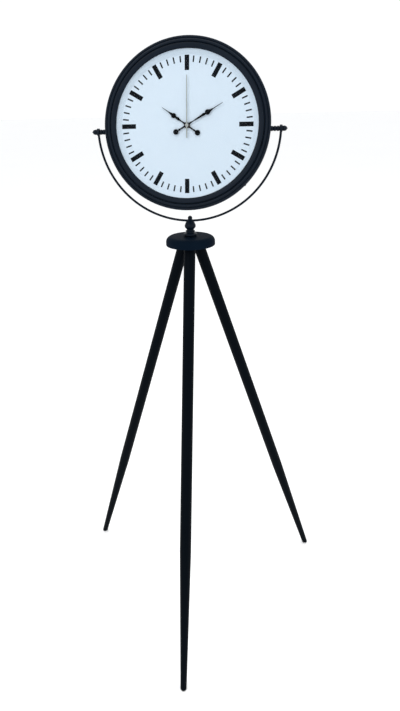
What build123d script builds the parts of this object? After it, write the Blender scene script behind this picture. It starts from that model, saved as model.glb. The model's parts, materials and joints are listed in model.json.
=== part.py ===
from build123d import *
import os
from math import atan2, cos, degrees, pi, radians, sin, sqrt, tan

# Tripod floor clock. Millimetres, +Z up, dial facing -Y. The origin is the centre of the footprint
# on the floor, so the stand's own axis lies behind it by a quarter of the foot circle's radius.

# Stand
FOOT_RADIUS = 413.0
LEG_TOP_RADIUS = 21.5
LEG_DIAMETER = 30.0
LEG_TIP_DIAMETER = 16.7
LEG_TAPER_START = 0.68
LEG_TIP_ROUND = 5.0
PAD_HEIGHT = 4.0
PAD_DIAMETER = 12.0
PAD_EDGE = 1.0
PAD_STEM_DIAMETER = 4.0
PAD_STEM_LENGTH = 12.0
LEG_STUD_DIAMETER = 8.0
LEG_STUD_IN_HEAD = 17.0
LEG_STUD_IN_LEG = 38.0
HEAD_BOTTOM = 1111.0
HEAD_THICKNESS = 23.0
HEAD_DIAMETER = 128.0
HEAD_FLAT_DIAMETER = 99.0
HEAD_SIDE = 9.0
HEAD_EDGE = 1.5

# Finial, yoke and its clamp bolt. Heights in the finial are above the head.
RUNNING_GAP = 0.05
BOLT_DIAMETER = 6.0
NUT_POCKET_DEPTH = 8.0
NUT_POCKET_DIAMETER = 13.6
NUT_THICKNESS = 5.0
NUT_WIDTH = 10.0
WASHER_THICKNESS = 1.4
WASHER_DIAMETER = 12.4
SWIVEL_WASHER_THICKNESS = 0.6
SWIVEL_WASHER_DIAMETER = 28.0
BALL_RADIUS = 5.8
BALL_NECK = 5.4
BALL_ABOVE_HEAD = 46.6
ROD_ABOVE_HEAD = 39.85
YOKE_RISE = 3.0
YOKE_ROD_DIAMETER = 5.8
EYE_DIAMETER = 17.5
EYE_THICKNESS = YOKE_ROD_DIAMETER + 0.7
EYE_EDGE = 0.8

# Case. Radii are from the dial's centre, depths are in front of the dial's face (behind is negative).
CASE_DIAMETER = 400.0
CASE_TILT = 10.8
DIAL_FORWARD = 24.9
DIAL_ABOVE_PIVOT = 8.5
SHEET = 1.2
BEZEL_WALL = 2.0
PAN_BACK = -38.0
PAN_FRONT = 2.0
PAN_CORNER = 8.0
BACK_OPENING_DIAMETER = 120.0
SKIRT_BACK = -8.0
SKIRT_GAP = 0.1
BEZEL_WIDTH = 29.4
GLASS_OVERLAP = 7.2
GLASS_THICKNESS = 2.5
GLASS_GAP = 0.2
GASKET_THICKNESS = 1.0
DIAL_SHEET = 1.0
DIAL_RIM_WIDTH = 11.5
POST_INSET = 29.5
POST_DIAMETER = 6.0
POST_SCREW_DIAMETER = 3.0
POST_SCREW_LENGTH = 10.0
POST_SCREW_HEAD_DIAMETER = 6.0
POST_SCREW_HEAD = 1.8
BEZEL_SCREW_DIAMETER = 2.4
BEZEL_SCREW_INSIDE = 3.0
BEZEL_SCREW_HEAD_DIAMETER = 4.8
BEZEL_SCREW_HEAD = 1.0
BEZEL_SCREW_FROM_SKIRT = 3.0
CASE_SCREWS = 4

# Pivot hardware, on the pivot axis at each side of the case
PIVOT_STUD_DIAMETER = 5.0
STUD_SPARE = 3.2
PIVOT_PLATE_GAP = 1.6
PIVOT_PLATE_THICKNESS = 2.0
PIVOT_PLATE_SIZE = 16.0
PIVOT_NUT_THICKNESS = 4.0
PIVOT_NUT_WIDTH = 8.0
FRICTION_WASHER = 0.4
FRICTION_WASHER_DIAMETER = 11.0
BEADS = 3
BEAD_LENGTH = 7.5
BEAD_DIAMETER = 12.2
BEAD_NECK_DIAMETER = 8.6
ACORN_DIAMETER = 13.0
ACORN_FOOT_DIAMETER = 10.6
ACORN_FOOT_HEIGHT = 1.6
ACORN_HEIGHT = 5.0
ACORN_BORE_DEPTH = 6.5
ACORN_TIP = 1.2

# Dial marks
HOURS = 12
MINUTES = 60
MARK_MARGIN = 0.8
BAR_LENGTH = 34.0
BAR_WIDTH = 10.7
TICK_INSET = 1.5
TICK_LENGTH = 14.35
TICK_WIDTH = 3.3
MARK_THICKNESS = 0.3

# Hands: clock angles for ten past ten
MINUTE_ANGLE = 60.0
HOUR_ANGLE = 305.0
SECOND_ANGLE = 0.0
HAND_THICKNESS = 0.8
HAND_SPACE = 1.0
HUB_RADIUS = 6.8
COUNTERWEIGHT_RADIUS = 6.4
MINUTE_LENGTH = 98.3
HOUR_LENGTH = 72.6
HAND_NUT_DIAMETER = 7.8
HAND_NUT_THICKNESS = 0.7
SECOND_HAND_THICKNESS = 0.4
SECOND_HAND_SPACE = 0.5
SECOND_HAND_WIDTH = 3.0
SECOND_TIP_WIDTH = 2.0
SECOND_HUB_RADIUS = 3.2
SECOND_BOSS_RADIUS = 1.3
SECOND_BOSS_HEIGHT = 1.2
SECOND_LENGTH = 113.0
SECOND_TAIL = 29.8
HAND_TO_GLASS = 0.6

# Movement box, behind the dial. Its width and its lower half follow from the cell.
BOX_TOP = 28.8
BOX_DEPTH = 17.5
BOX_WALL = 1.4
BOX_CORNER = 3.0
BACK_GAP = 0.1
BAY_WALL_Y = -12.3
BAY_WALL = 0.8
CELL_DIAMETER = 14.2
CELL_LENGTH = 49.2
CELL_BUTTON = 1.2
CELL_BUTTON_DIAMETER = 5.4
CELL_EDGE = 1.0
CELL_GAP_ABOVE = 0.3
CELL_GAP_BELOW = 0.2
CELL_GAP_FRONT = 0.8
CONTACT_SPACE = 2.2
CONTACT_THICKNESS = 0.4
CONTACT_WIDTH = 9.0
CONTACT_FROM_WALL = 0.2
MOVEMENT_GASKET = 0.8
MOVEMENT_GASKET_DIAMETER = 28.0
BUSH_RADIUS = 4.0
BUSH_GAP = 0.1
BUSH_WASHER_DIAMETER = 14.0
BUSH_WASHER_THICKNESS = 0.5
BUSH_NUT_WIDTH = 11.0
BUSH_NUT_THICKNESS = 1.9
BUSH_SPARE = 0.6
HOUR_TUBE_RADIUS = 2.55
HOUR_BORE_RADIUS = 1.82
MINUTE_TUBE_RADIUS = 1.75
MINUTE_BACK_RADIUS = 1.5
MINUTE_BORE_RADIUS = 0.57
SECOND_ARBOR_RADIUS = 0.5
SHAFT_RADIUS = 0.6
PIVOT_RADIUS = 0.35
PIVOT_LENGTH = 0.8
POST_RADIUS = 0.9
KNOB_SHAFT_RADIUS = 1.2
KNOB_RADIUS = 6.5
KNOB_HEIGHT = 4.0
KNOB_OFF_BOX = 0.4
KNOB_GROOVES = 20
KNOB_GROOVE_RADIUS = 0.7
CLUTCH_SPRING_RADIUS = 4.2
CLUTCH_SPRING_THICKNESS = 0.25

# Wheels: module and numbers of teeth of each meshing pair
SETTING_MODULE = 0.40
CANNON_TEETH, MINUTE_WHEEL_TEETH = 10, 30
MINUTE_PINION_TEETH, HOUR_WHEEL_TEETH = 8, 32
KNOB_TEETH = 12
SECOND_MODULE = 0.36
SECOND_PINION_TEETH, THIRD_WHEEL_TEETH = 8, 60
THIRD_MODULE = 0.34
THIRD_PINION_TEETH, CENTRE_WHEEL_TEETH = 8, 64
STEP_MODULE = 0.30
SECOND_WHEEL_TEETH, STEP_PINION_TEETH = 48, 8
ROTOR_MODULE = 0.25
STEP_WHEEL_TEETH, ROTOR_PINION_TEETH = 40, 8
PRESSURE_ANGLE = radians(20)
ADDENDUM = 0.62
DEDENDUM = 1.0
TOOTH_SHARE = 0.41

# Directions from the centre arbor to the other arbors, seen from the front
THIRD_DIRECTION = 165.0
MINUTE_WHEEL_DIRECTION = 90.0
STEP_DIRECTION = -10.0

# Stepping motor and circuit board
MAGNET_RADIUS = 3.0
MAGNET_GAP = 0.4
STATOR_RING = 0.7
STATOR_ARM = 2.5
COIL_X = 22.5
COIL_LOW_Y = -7.5
COIL_LENGTH = 20.0
COIL_RADIUS = 3.6
CORE_RADIUS = 1.1
BOBBIN_WALL = 0.5
BOBBIN_FLANGE = 0.8
BOARD_WIDTH, BOARD_LENGTH, BOARD_THICKNESS = 20.0, 9.6, 1.0
BOARD_X, BOARD_Y = -14.6, 20.4
CRYSTAL_RADIUS, CRYSTAL_LENGTH = 1.0, 6.2

# What follows from these sizes
stand_y = FOOT_RADIUS / 4
head_top = HEAD_BOTTOM + HEAD_THICKNESS
case_radius = CASE_DIAMETER / 2
pan_radius = case_radius - BEZEL_WALL
pan_inside = pan_radius - SHEET
yoke_radius = pan_radius + BEADS * BEAD_LENGTH + FRICTION_WASHER + EYE_THICKNESS / 2
pivot_height = head_top + ROD_ABOVE_HEAD + yoke_radius - YOKE_RISE
bezel_opening = case_radius - BEZEL_WIDTH
glass_radius = bezel_opening + GLASS_OVERLAP
dial_rim_radius = bezel_opening + 0.4
dial_flange_radius = glass_radius - 0.8
dial_flat_radius = dial_rim_radius - DIAL_RIM_WIDTH
dial_back = -DIAL_SHEET
bush_front = BUSH_WASHER_THICKNESS + BUSH_NUT_THICKNESS + BUSH_SPARE
hour_hand_back = bush_front + 0.4
minute_hand_back = hour_hand_back + HAND_THICKNESS + HAND_SPACE
hand_nut_back = minute_hand_back + HAND_THICKNESS
second_hand_back = hand_nut_back + HAND_NUT_THICKNESS + SECOND_HAND_SPACE
second_boss_front = second_hand_back + SECOND_BOSS_HEIGHT
glass_back = second_boss_front + HAND_TO_GLASS
glass_front = glass_back + GLASS_THICKNESS
box_front = dial_back - MOVEMENT_GASKET
box_back = box_front - BOX_DEPTH
box_inside_front = box_front - BOX_WALL
box_inside_back = box_back + BOX_WALL

os.makedirs("parts", exist_ok=True)

tilt = radians(CASE_TILT)
dial_place = Plane(
    origin=(
        0,
        stand_y - DIAL_FORWARD * cos(tilt) + DIAL_ABOVE_PIVOT * sin(tilt),
        pivot_height + DIAL_FORWARD * sin(tilt) + DIAL_ABOVE_PIVOT * cos(tilt),
    ),
    x_dir=(1, 0, 0),
    z_dir=(0, -cos(tilt), sin(tilt)),
).location
stand_place = Location((0, stand_y, 0))
pivot_place = Location((0, stand_y, pivot_height))
ROUND = 0.7071


def save(name, place, *solids):
    """Writes one named piece, whose solids are placed in the clock's own frame."""
    placed = [place * solid for solid in solids]
    shape = placed[0] if len(placed) == 1 else Compound(children=placed)
    shape.label = name
    export_step(shape, "parts/" + name + ".step")


def turned(*steps):
    """Solid turned about Z. A step is (radius, height), or (radius, height, via radius, via height)."""
    edges = []
    for start, end in zip(steps, steps[1:] + steps[:1]):
        if len(end) == 4:
            edges.append(ThreePointArc(start[:2], end[2:], end[:2]))
        else:
            edges.append(Line(start[:2], end))
    return revolve(Plane.XZ * make_face(edges), Axis.Z)


def disc(radius, low, high, bore=0.0):
    """Round plate or tube between two heights."""
    shape = Pos(0, 0, low) * Cylinder(radius, high - low, align=(Align.CENTER, Align.CENTER, Align.MIN))
    if bore:
        shape -= Pos(0, 0, low - 1) * Cylinder(bore, high - low + 2,
                                               align=(Align.CENTER, Align.CENTER, Align.MIN))
    return shape


def block(x, y, low, high, width, length):
    """Rectangular block centred on (x, y) between two heights."""
    return Pos(x, y, (low + high) / 2) * Box(width, length, high - low)


def hexagon(width, low, high, bore):
    """Hexagonal nut of the given width across its flats."""
    blank = extrude(RegularPolygon(width / 2, 6, major_radius=False), high - low)
    return Pos(0, 0, low) * blank - disc(bore, low - 1, high + 1)


def around(solid, count, first=0.0):
    """Copies of a solid spaced evenly about Z."""
    return [Rot(0, 0, first + 360 * i / count) * solid for i in range(count)]


def single(shape):
    """The one solid in a shape."""
    return shape.solids()[0]


# The three legs: straight round bars, thinner towards the floor, cut level where they meet the head.
leg_lean = atan2(FOOT_RADIUS - LEG_TOP_RADIUS, HEAD_BOTTOM)
leg_length = HEAD_BOTTOM / cos(leg_lean)
leg_spare = LEG_DIAMETER
tip_radius = LEG_TIP_DIAMETER / 2
leg_blank = turned(
    (0, -leg_spare),
    (LEG_DIAMETER / 2, -leg_spare),
    (LEG_DIAMETER / 2, leg_length * LEG_TAPER_START),
    (tip_radius, leg_length - LEG_TIP_ROUND),
    (tip_radius - LEG_TIP_ROUND, leg_length,
     tip_radius - (1 - ROUND) * LEG_TIP_ROUND, leg_length - (1 - ROUND) * LEG_TIP_ROUND),
    (0, leg_length),
)
leg_stud = disc(LEG_STUD_DIAMETER / 2, -LEG_STUD_IN_HEAD, LEG_STUD_IN_LEG)
leg_place = Location((LEG_TOP_RADIUS, 0, HEAD_BOTTOM)) * Rot(0, 180 - degrees(leg_lean), 0)
pad_radius = PAD_DIAMETER / 2
pad = turned(
    (0, 0),
    (pad_radius - PAD_EDGE, 0),
    (pad_radius, PAD_EDGE, pad_radius - (1 - ROUND) * PAD_EDGE, (1 - ROUND) * PAD_EDGE),
    (pad_radius, PAD_HEIGHT),
    (0, PAD_HEIGHT),
)
pad += disc(PAD_STEM_DIAMETER / 2, PAD_HEIGHT, PAD_HEIGHT + PAD_STEM_LENGTH)
pad = Pos(FOOT_RADIUS, 0, 0) * pad
trim_size = 4 * LEG_DIAMETER
leg = leg_place * (leg_blank - leg_stud)
leg -= Pos(LEG_TOP_RADIUS, 0, HEAD_BOTTOM + trim_size / 2) * Box(trim_size, trim_size, trim_size)
leg -= Pos(FOOT_RADIUS, 0, PAD_HEIGHT - trim_size / 2) * Box(trim_size, trim_size, trim_size)
leg -= pad
for name, direction in (("leg_front", -90), ("leg_right", 30), ("leg_left", 150)):
    save(name, stand_place, Rot(0, 0, direction) * single(leg))
save("foot_pads", stand_place, *around(single(pad), 3, -90))
studs = around(leg_place * leg_stud, 3, -90)
save("leg_studs", stand_place, *studs)

# The round head that the legs screw into, with the clamp bolt's bore and nut pocket on its axis.
head_radius = HEAD_DIAMETER / 2
shoulder_in = (HEAD_DIAMETER - HEAD_FLAT_DIAMETER) / 2
shoulder_up = HEAD_THICKNESS - HEAD_SIDE
head = turned(
    (0, HEAD_BOTTOM),
    (head_radius - HEAD_EDGE, HEAD_BOTTOM),
    (head_radius, HEAD_BOTTOM + HEAD_EDGE,
     head_radius - (1 - ROUND) * HEAD_EDGE, HEAD_BOTTOM + (1 - ROUND) * HEAD_EDGE),
    (head_radius, HEAD_BOTTOM + HEAD_SIDE),
    (head_radius - shoulder_in, head_top,
     head_radius - (1 - ROUND) * shoulder_in, HEAD_BOTTOM + HEAD_SIDE + ROUND * shoulder_up),
    (0, head_top),
)
bolt_radius = BOLT_DIAMETER / 2
pocket_top = HEAD_BOTTOM + NUT_POCKET_DEPTH
head -= disc(bolt_radius + RUNNING_GAP, HEAD_BOTTOM - 1, head_top + 1)
head -= disc(NUT_POCKET_DIAMETER / 2, HEAD_BOTTOM - 1, pocket_top)
for stud in studs:
    head -= stud
save("head_disc", stand_place, single(head))

# Clamp bolt with its nut and washers. The bolt's upper end bears on the yoke's rod and locks it.
yoke_centre = pivot_height + YOKE_RISE
rod_radius = YOKE_ROD_DIAMETER / 2
bolt_top = head_top + ROD_ABOVE_HEAD - rod_radius
nut_top = pocket_top - WASHER_THICKNESS
nut_bottom = nut_top - NUT_THICKNESS
finial_foot = head_top + SWIVEL_WASHER_THICKNESS
save("clamp_nut", stand_place, hexagon(NUT_WIDTH, nut_bottom, nut_top, bolt_radius))
save("clamp_washer", stand_place, disc(WASHER_DIAMETER / 2, nut_top, pocket_top, bolt_radius))
save("swivel_washer", stand_place, disc(SWIVEL_WASHER_DIAMETER / 2, head_top, finial_foot, bolt_radius))
save("clamp_bolt", stand_place, disc(bolt_radius, nut_bottom, bolt_top))

# Finial: a turned knop with a round foot, collar, bulb and neck, and a ball on top. It is
# cross-drilled through the neck for the yoke's rod. Its heights are above the head.
ball_drop = sqrt(BALL_RADIUS**2 - BALL_NECK**2)
finial = turned(
    (0, SWIVEL_WASHER_THICKNESS),
    (14.8, SWIVEL_WASHER_THICKNESS),
    (14.4, 8.2, 17.2, 4.6),
    (11.6, 11.6, 12.2, 9.2),
    (11.6, 14.4, 12.4, 13.0),
    (9.3, 15.4),
    (9.3, 18.0, 9.0, 16.7),
    (13.4, 30.8, 14.6, 25.0),
    (9.6, 38.0, 12.2, 34.4),
    (BALL_NECK, BALL_ABOVE_HEAD - ball_drop, 7.4, 41.4),
    (0, BALL_ABOVE_HEAD + BALL_RADIUS, BALL_RADIUS, BALL_ABOVE_HEAD),
)
finial = Pos(0, 0, head_top) * finial
yoke_axis = Axis((0, 0, yoke_centre), (0, 1, 0))
rod_start = Pos(yoke_radius, 0, yoke_centre)
rod = revolve(rod_start * Circle(rod_radius), yoke_axis, 180)
finial -= revolve(rod_start * Circle(rod_radius + RUNNING_GAP), yoke_axis, 180)
finial -= disc(bolt_radius, finial_foot - 1, bolt_top)
save("finial", stand_place, single(finial))

# Yoke: half a ring of round rod, with a flat round eye at each end for the pivot stud.
stud_radius = PIVOT_STUD_DIAMETER / 2
eye_in = yoke_radius - EYE_THICKNESS / 2
eye_out = yoke_radius + EYE_THICKNESS / 2
eye = disc(EYE_DIAMETER / 2, eye_in, eye_out)
eye = fillet(eye.edges(), EYE_EDGE)
yoke = rod
for side in (1, -1):
    yoke = yoke + Pos(0, 0, pivot_height) * Rot(0, 90 * side, 0) * eye
for side in (1, -1):
    bore = disc(stud_radius + RUNNING_GAP, eye_in - EYE_DIAMETER, eye_out + EYE_DIAMETER)
    yoke = yoke - Pos(0, 0, pivot_height) * Rot(0, 90 * side, 0) * bore
save("yoke", stand_place, single(yoke))

# Pivot hardware, the same on both sides and fixed to the case: a stud through the case wall, a
# backing plate and nut inside, three beads outside, a washer each side of the yoke's eye, an acorn nut.
plate_out = pan_inside - PIVOT_PLATE_GAP
plate_in = plate_out - PIVOT_PLATE_THICKNESS
nut_in = plate_in - PIVOT_NUT_THICKNESS
beads_end = eye_in - FRICTION_WASHER
acorn_base = eye_out + FRICTION_WASHER
stud_end = acorn_base + ACORN_BORE_DEPTH
pivot_stud = disc(stud_radius, nut_in - STUD_SPARE, stud_end)
pivot_plate = block(0, 0, plate_in, plate_out, PIVOT_PLATE_SIZE, PIVOT_PLATE_SIZE)
pivot_plate -= disc(stud_radius, plate_in - 1, plate_out + 1)
pivot_nut = hexagon(PIVOT_NUT_WIDTH, nut_in, plate_in, stud_radius)
friction_washers = [
    disc(FRICTION_WASHER_DIAMETER / 2, beads_end, eye_in, stud_radius),
    disc(FRICTION_WASHER_DIAMETER / 2, eye_out, acorn_base, stud_radius),
]
bead_steps = [(stud_radius, pan_radius), (BEAD_NECK_DIAMETER / 2, pan_radius)]
for i in range(BEADS):
    middle = pan_radius + (i + 0.5) * BEAD_LENGTH
    top = pan_radius + (i + 1) * BEAD_LENGTH
    bead_steps.append((BEAD_NECK_DIAMETER / 2, top, BEAD_DIAMETER / 2, middle))
bead_steps.append((stud_radius, beads_end))
beads = turned(*bead_steps)
acorn_foot = ACORN_FOOT_DIAMETER / 2
dome_centre = acorn_base + ACORN_HEIGHT
dome_radius = ACORN_DIAMETER / 2 - 0.6
tip_start = dome_centre + sqrt(dome_radius**2 - ACORN_TIP**2)
acorn = turned(
    (0, acorn_base),
    (acorn_foot, acorn_base),
    (acorn_foot, acorn_base + ACORN_FOOT_HEIGHT, acorn_foot + 0.7, acorn_base + ACORN_FOOT_HEIGHT / 2),
    (dome_radius, dome_centre, ACORN_DIAMETER / 2, acorn_base + 0.7 * ACORN_HEIGHT),
    (ACORN_TIP, tip_start, ROUND * dome_radius, dome_centre + ROUND * dome_radius),
    (0.28 * ACORN_TIP, tip_start + 0.96 * ACORN_TIP, 0.8 * ACORN_TIP, tip_start + 0.6 * ACORN_TIP),
    (0, tip_start + 0.96 * ACORN_TIP),
)
acorn -= disc(stud_radius, acorn_base - 1, stud_end)


def save_pivot(name, *solids):
    """Writes the same pivot hardware for both ends of the pivot axis."""
    placed = []
    for side in (1, -1):
        placed += [Rot(0, 90 * side, 0) * solid for solid in solids]
    save(name, pivot_place, *placed)


save_pivot("pivot_studs", pivot_stud)
save_pivot("pivot_nuts", pivot_nut)
save_pivot("pivot_beads", beads)
save_pivot("friction_washers", *friction_washers)
save_pivot("acorn_nuts", acorn)
pivot_in_case = Pos(0, -DIAL_ABOVE_PIVOT, -DIAL_FORWARD)
plates = [pivot_in_case * (Rot(0, 90 * side, 0) * pivot_plate) for side in (1, -1)]
save("pivot_plates", dial_place, *plates)

# Case pan: one pressed sheet, open at the front, with a round opening in its back for the movement.
corner_share = 1 - ROUND
inner_corner = PAN_CORNER - SHEET
opening_radius = BACK_OPENING_DIAMETER / 2
pan = turned(
    (opening_radius, PAN_BACK),
    (pan_radius - PAN_CORNER, PAN_BACK),
    (pan_radius, PAN_BACK + PAN_CORNER,
     pan_radius - corner_share * PAN_CORNER, PAN_BACK + corner_share * PAN_CORNER),
    (pan_radius, PAN_FRONT),
    (pan_inside, PAN_FRONT),
    (pan_inside, PAN_BACK + PAN_CORNER),
    (pan_radius - PAN_CORNER, PAN_BACK + SHEET,
     pan_inside - corner_share * inner_corner, PAN_BACK + SHEET + corner_share * inner_corner),
    (opening_radius, PAN_BACK + SHEET),
)
for side in (1, -1):
    pan -= pivot_in_case * (Rot(0, 90 * side, 0) * pivot_stud)

# Case screws: four hold the dial's posts to the pan's back, four hold the bezel's skirt to its wall.
post_circle = dial_flat_radius - POST_INSET
post_screw = disc(POST_SCREW_DIAMETER / 2, PAN_BACK, PAN_BACK + SHEET + POST_SCREW_LENGTH)
post_screw += disc(POST_SCREW_HEAD_DIAMETER / 2, PAN_BACK - POST_SCREW_HEAD, PAN_BACK)
post_screws = around(Pos(post_circle, 0, 0) * post_screw, CASE_SCREWS, 180 / CASE_SCREWS)
post = disc(POST_DIAMETER / 2, PAN_BACK + SHEET, dial_back)
posts = around(Pos(post_circle, 0, 0) * post, CASE_SCREWS, 180 / CASE_SCREWS)
posts = [single(single(item) - screw) for item, screw in zip(posts, post_screws)]
bezel_screw = disc(BEZEL_SCREW_DIAMETER / 2, pan_inside - BEZEL_SCREW_INSIDE, case_radius + 0.01)
bezel_screw += disc(BEZEL_SCREW_HEAD_DIAMETER / 2, case_radius, case_radius + BEZEL_SCREW_HEAD)
bezel_screw = fillet(bezel_screw.edges().group_by(Axis.Z)[-1], BEZEL_SCREW_HEAD / 2)
bezel_screw = Pos(0, 0, SKIRT_BACK + BEZEL_SCREW_FROM_SKIRT) * (Rot(0, 90, 0) * bezel_screw)
bezel_screws = around(bezel_screw, CASE_SCREWS, 180 / CASE_SCREWS)
for screw in post_screws + bezel_screws:
    pan -= screw
save("case_pan", dial_place, single(pan))
save("dial_posts", dial_place, *posts)
save("post_screws", dial_place, *post_screws)
save("bezel_screws", dial_place, *bezel_screws)

# Bezel: a moulded ring over the pan's front. From outside in: rolled edge, groove, half-round bead,
# groove, and a wide band that slopes down to the glass. Its section is drawn inwards from the edge,
# with heights measured from the glass's front.
skirt_inner = pan_radius + SKIRT_GAP


def section(inset, height, *via):
    """Point of the bezel's section, with the point that an arc to it passes through."""
    step = (case_radius - inset, glass_front + height)
    if via:
        step += (case_radius - via[0], glass_front + via[1])
    return step


bezel = turned(
    (skirt_inner, SKIRT_BACK),
    (case_radius, SKIRT_BACK),
    section(0.0, -3.9),
    section(3.8, -0.1, 1.1, -1.2),
    section(5.4, -0.1),
    section(6.2, -1.5),
    section(7.0, -1.5),
    section(14.8, -1.5, 10.9, 2.7),
    section(16.4, -1.5),
    section(17.2, 1.7),
    section(18.4, 2.7, 17.5, 2.4),
    section(27.4, 1.3),
    section(BEZEL_WIDTH, 0.0, 28.9, 0.9),
    (glass_radius + GLASS_GAP, glass_front),
    (glass_radius + GLASS_GAP, glass_front - 3.1),
    section(4.4, -3.1),
    (skirt_inner, glass_front - 5.5, skirt_inner - 0.7, glass_front - 3.8),
)
for screw in bezel_screws:
    bezel -= screw
save("bezel", dial_place, single(bezel))

# Flat glass and the soft ring that the dial's flange presses against it.
flange_front = glass_back - GASKET_THICKNESS
save("glass", dial_place, disc(glass_radius, glass_back, glass_front))
save("glass_gasket", dial_place, disc(dial_flange_radius, flange_front, glass_back, dial_rim_radius + 0.6))

# Dial: a thin dished sheet whose rim slopes forward to a flange under the glass.
dial = turned(
    (0, dial_back),
    (dial_flat_radius + 0.5, dial_back),
    (dial_rim_radius + 0.5, flange_front - DIAL_SHEET),
    (dial_flange_radius, flange_front - DIAL_SHEET),
    (dial_flange_radius, flange_front),
    (dial_rim_radius, flange_front),
    (dial_flat_radius, 0),
    (0, 0),
)
dial -= disc(BUSH_RADIUS + BUSH_GAP, dial_back - 1, 1)
save("dial_plate", dial_place, single(dial))

# Dial marks: a wide bar at each hour and a narrow one at each minute between.
bar_outer = dial_flat_radius - MARK_MARGIN
tick_outer = bar_outer - TICK_INSET
bar = block(0, bar_outer - BAR_LENGTH / 2, 0, MARK_THICKNESS, BAR_WIDTH, BAR_LENGTH)
tick = block(0, tick_outer - TICK_LENGTH / 2, 0, MARK_THICKNESS, TICK_WIDTH, TICK_LENGTH)
ticks = [item for i, item in enumerate(around(tick, MINUTES)) if i % (MINUTES // HOURS)]
save("hour_bars", dial_place, *around(bar, HOURS))
save("minute_ticks", dial_place, *ticks)


# Wheel teeth: involute above the base circle, radial below it, with the tips cut short so that
# eight-leaf pinions run free.
def involute(angle):
    return tan(angle) - angle


def wheel(teeth, module, low, high, bore=0.0, angle=0.0):
    """Toothed wheel about Z with one tooth centred on the given direction."""
    pitch_radius = module * teeth / 2
    base_radius = pitch_radius * cos(PRESSURE_ANGLE)
    root_radius = pitch_radius - DEDENDUM * module
    outer_radius = pitch_radius + ADDENDUM * module
    half_at_pitch = pi * TOOTH_SHARE / teeth
    flank = []
    for radius in (root_radius, max(base_radius, root_radius), pitch_radius, outer_radius):
        turn = involute(PRESSURE_ANGLE)
        if radius > base_radius:
            turn -= involute(atan2(sqrt(radius**2 - base_radius**2), base_radius))
        flank.append((radius, half_at_pitch + turn))
    if flank[0][0] >= flank[1][0]:
        flank = flank[1:]
    points = []
    for i in range(teeth):
        middle = radians(angle) + 2 * pi * i / teeth
        for radius, half in flank:
            points.append((radius * cos(middle - half), radius * sin(middle - half)))
        for radius, half in reversed(flank):
            points.append((radius * cos(middle + half), radius * sin(middle + half)))
    shape = Pos(0, 0, low) * extrude(make_face(Polyline(*points, close=True)), high - low)
    if bore:
        shape -= disc(bore, low - 1, high + 1)
    return shape


def meshed(angle, teeth, direction, other_teeth):
    """Direction of a tooth on the other wheel, so that it meshes with this one at rest."""
    phase = (direction - angle) * teeth / 360
    return direction + 180 - (0.5 - phase) * 360 / other_teeth


def spot(direction, distance):
    """Point at a distance from the centre arbor, in a direction seen from the front."""
    return distance * cos(radians(direction)), distance * sin(radians(direction))


def layer(behind, thickness):
    """Low and high of a wheel whose front lies this far behind the inside of the box's front wall."""
    return box_inside_front - behind - thickness, box_inside_front - behind


setting_distance = SETTING_MODULE * (CANNON_TEETH + MINUTE_WHEEL_TEETH) / 2
knob_distance = setting_distance + SETTING_MODULE * (MINUTE_WHEEL_TEETH + KNOB_TEETH) / 2
third_distance = SECOND_MODULE * (SECOND_PINION_TEETH + THIRD_WHEEL_TEETH) / 2
step_distance = STEP_MODULE * (SECOND_WHEEL_TEETH + STEP_PINION_TEETH) / 2
rotor_distance = step_distance + ROTOR_MODULE * (STEP_WHEEL_TEETH + ROTOR_PINION_TEETH) / 2
minute_wheel_spot = spot(MINUTE_WHEEL_DIRECTION, setting_distance)
knob_spot = spot(MINUTE_WHEEL_DIRECTION, knob_distance)
third_spot = spot(THIRD_DIRECTION, third_distance)
step_spot = spot(STEP_DIRECTION, step_distance)
rotor_spot = spot(STEP_DIRECTION, rotor_distance)

minute_wheel_angle = meshed(0, CANNON_TEETH, MINUTE_WHEEL_DIRECTION, MINUTE_WHEEL_TEETH)
hour_wheel_angle = meshed(0, MINUTE_PINION_TEETH, MINUTE_WHEEL_DIRECTION + 180, HOUR_WHEEL_TEETH)
knob_angle = meshed(minute_wheel_angle, MINUTE_WHEEL_TEETH, MINUTE_WHEEL_DIRECTION, KNOB_TEETH)
third_wheel_angle = meshed(0, SECOND_PINION_TEETH, THIRD_DIRECTION, THIRD_WHEEL_TEETH)
centre_wheel_angle = meshed(0, THIRD_PINION_TEETH, THIRD_DIRECTION + 180, CENTRE_WHEEL_TEETH)
step_pinion_angle = meshed(0, SECOND_WHEEL_TEETH, STEP_DIRECTION, STEP_PINION_TEETH)
rotor_angle = meshed(0, STEP_WHEEL_TEETH, STEP_DIRECTION, ROTOR_PINION_TEETH)

# Where each wheel lies in the box, as its distance behind the box's front wall and its thickness
minute_pinion_low, minute_pinion_high = layer(0.4, 2.4)
hour_wheel_low, hour_wheel_high = layer(1.0, 1.0)
cannon_low, cannon_high = layer(2.4, 1.6)
minute_wheel_low, minute_wheel_high = layer(2.8, 1.0)
knob_wheel_low, knob_wheel_high = layer(2.6, 1.4)
third_pinion_low, third_pinion_high = layer(4.3, 2.1)
centre_wheel_low, centre_wheel_high = layer(4.7, 0.8)
second_pinion_low, second_pinion_high = layer(6.1, 1.5)
bridge_low, bridge_high = layer(6.2, 0.8)
third_wheel_low, third_wheel_high = layer(6.4, 0.8)
magnet_low, magnet_high = layer(7.0, 2.9)
stator_low, stator_high = layer(7.9, 1.0)
step_pinion_low, step_pinion_high = layer(8.3, 2.0)
second_wheel_low, second_wheel_high = layer(8.6, 0.8)
rotor_pinion_low, rotor_pinion_high = layer(9.9, 1.5)
step_wheel_low, step_wheel_high = layer(10.3, 0.8)
back_pivot = box_inside_back - PIVOT_LENGTH
front_pivot = box_inside_front + PIVOT_LENGTH

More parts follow.
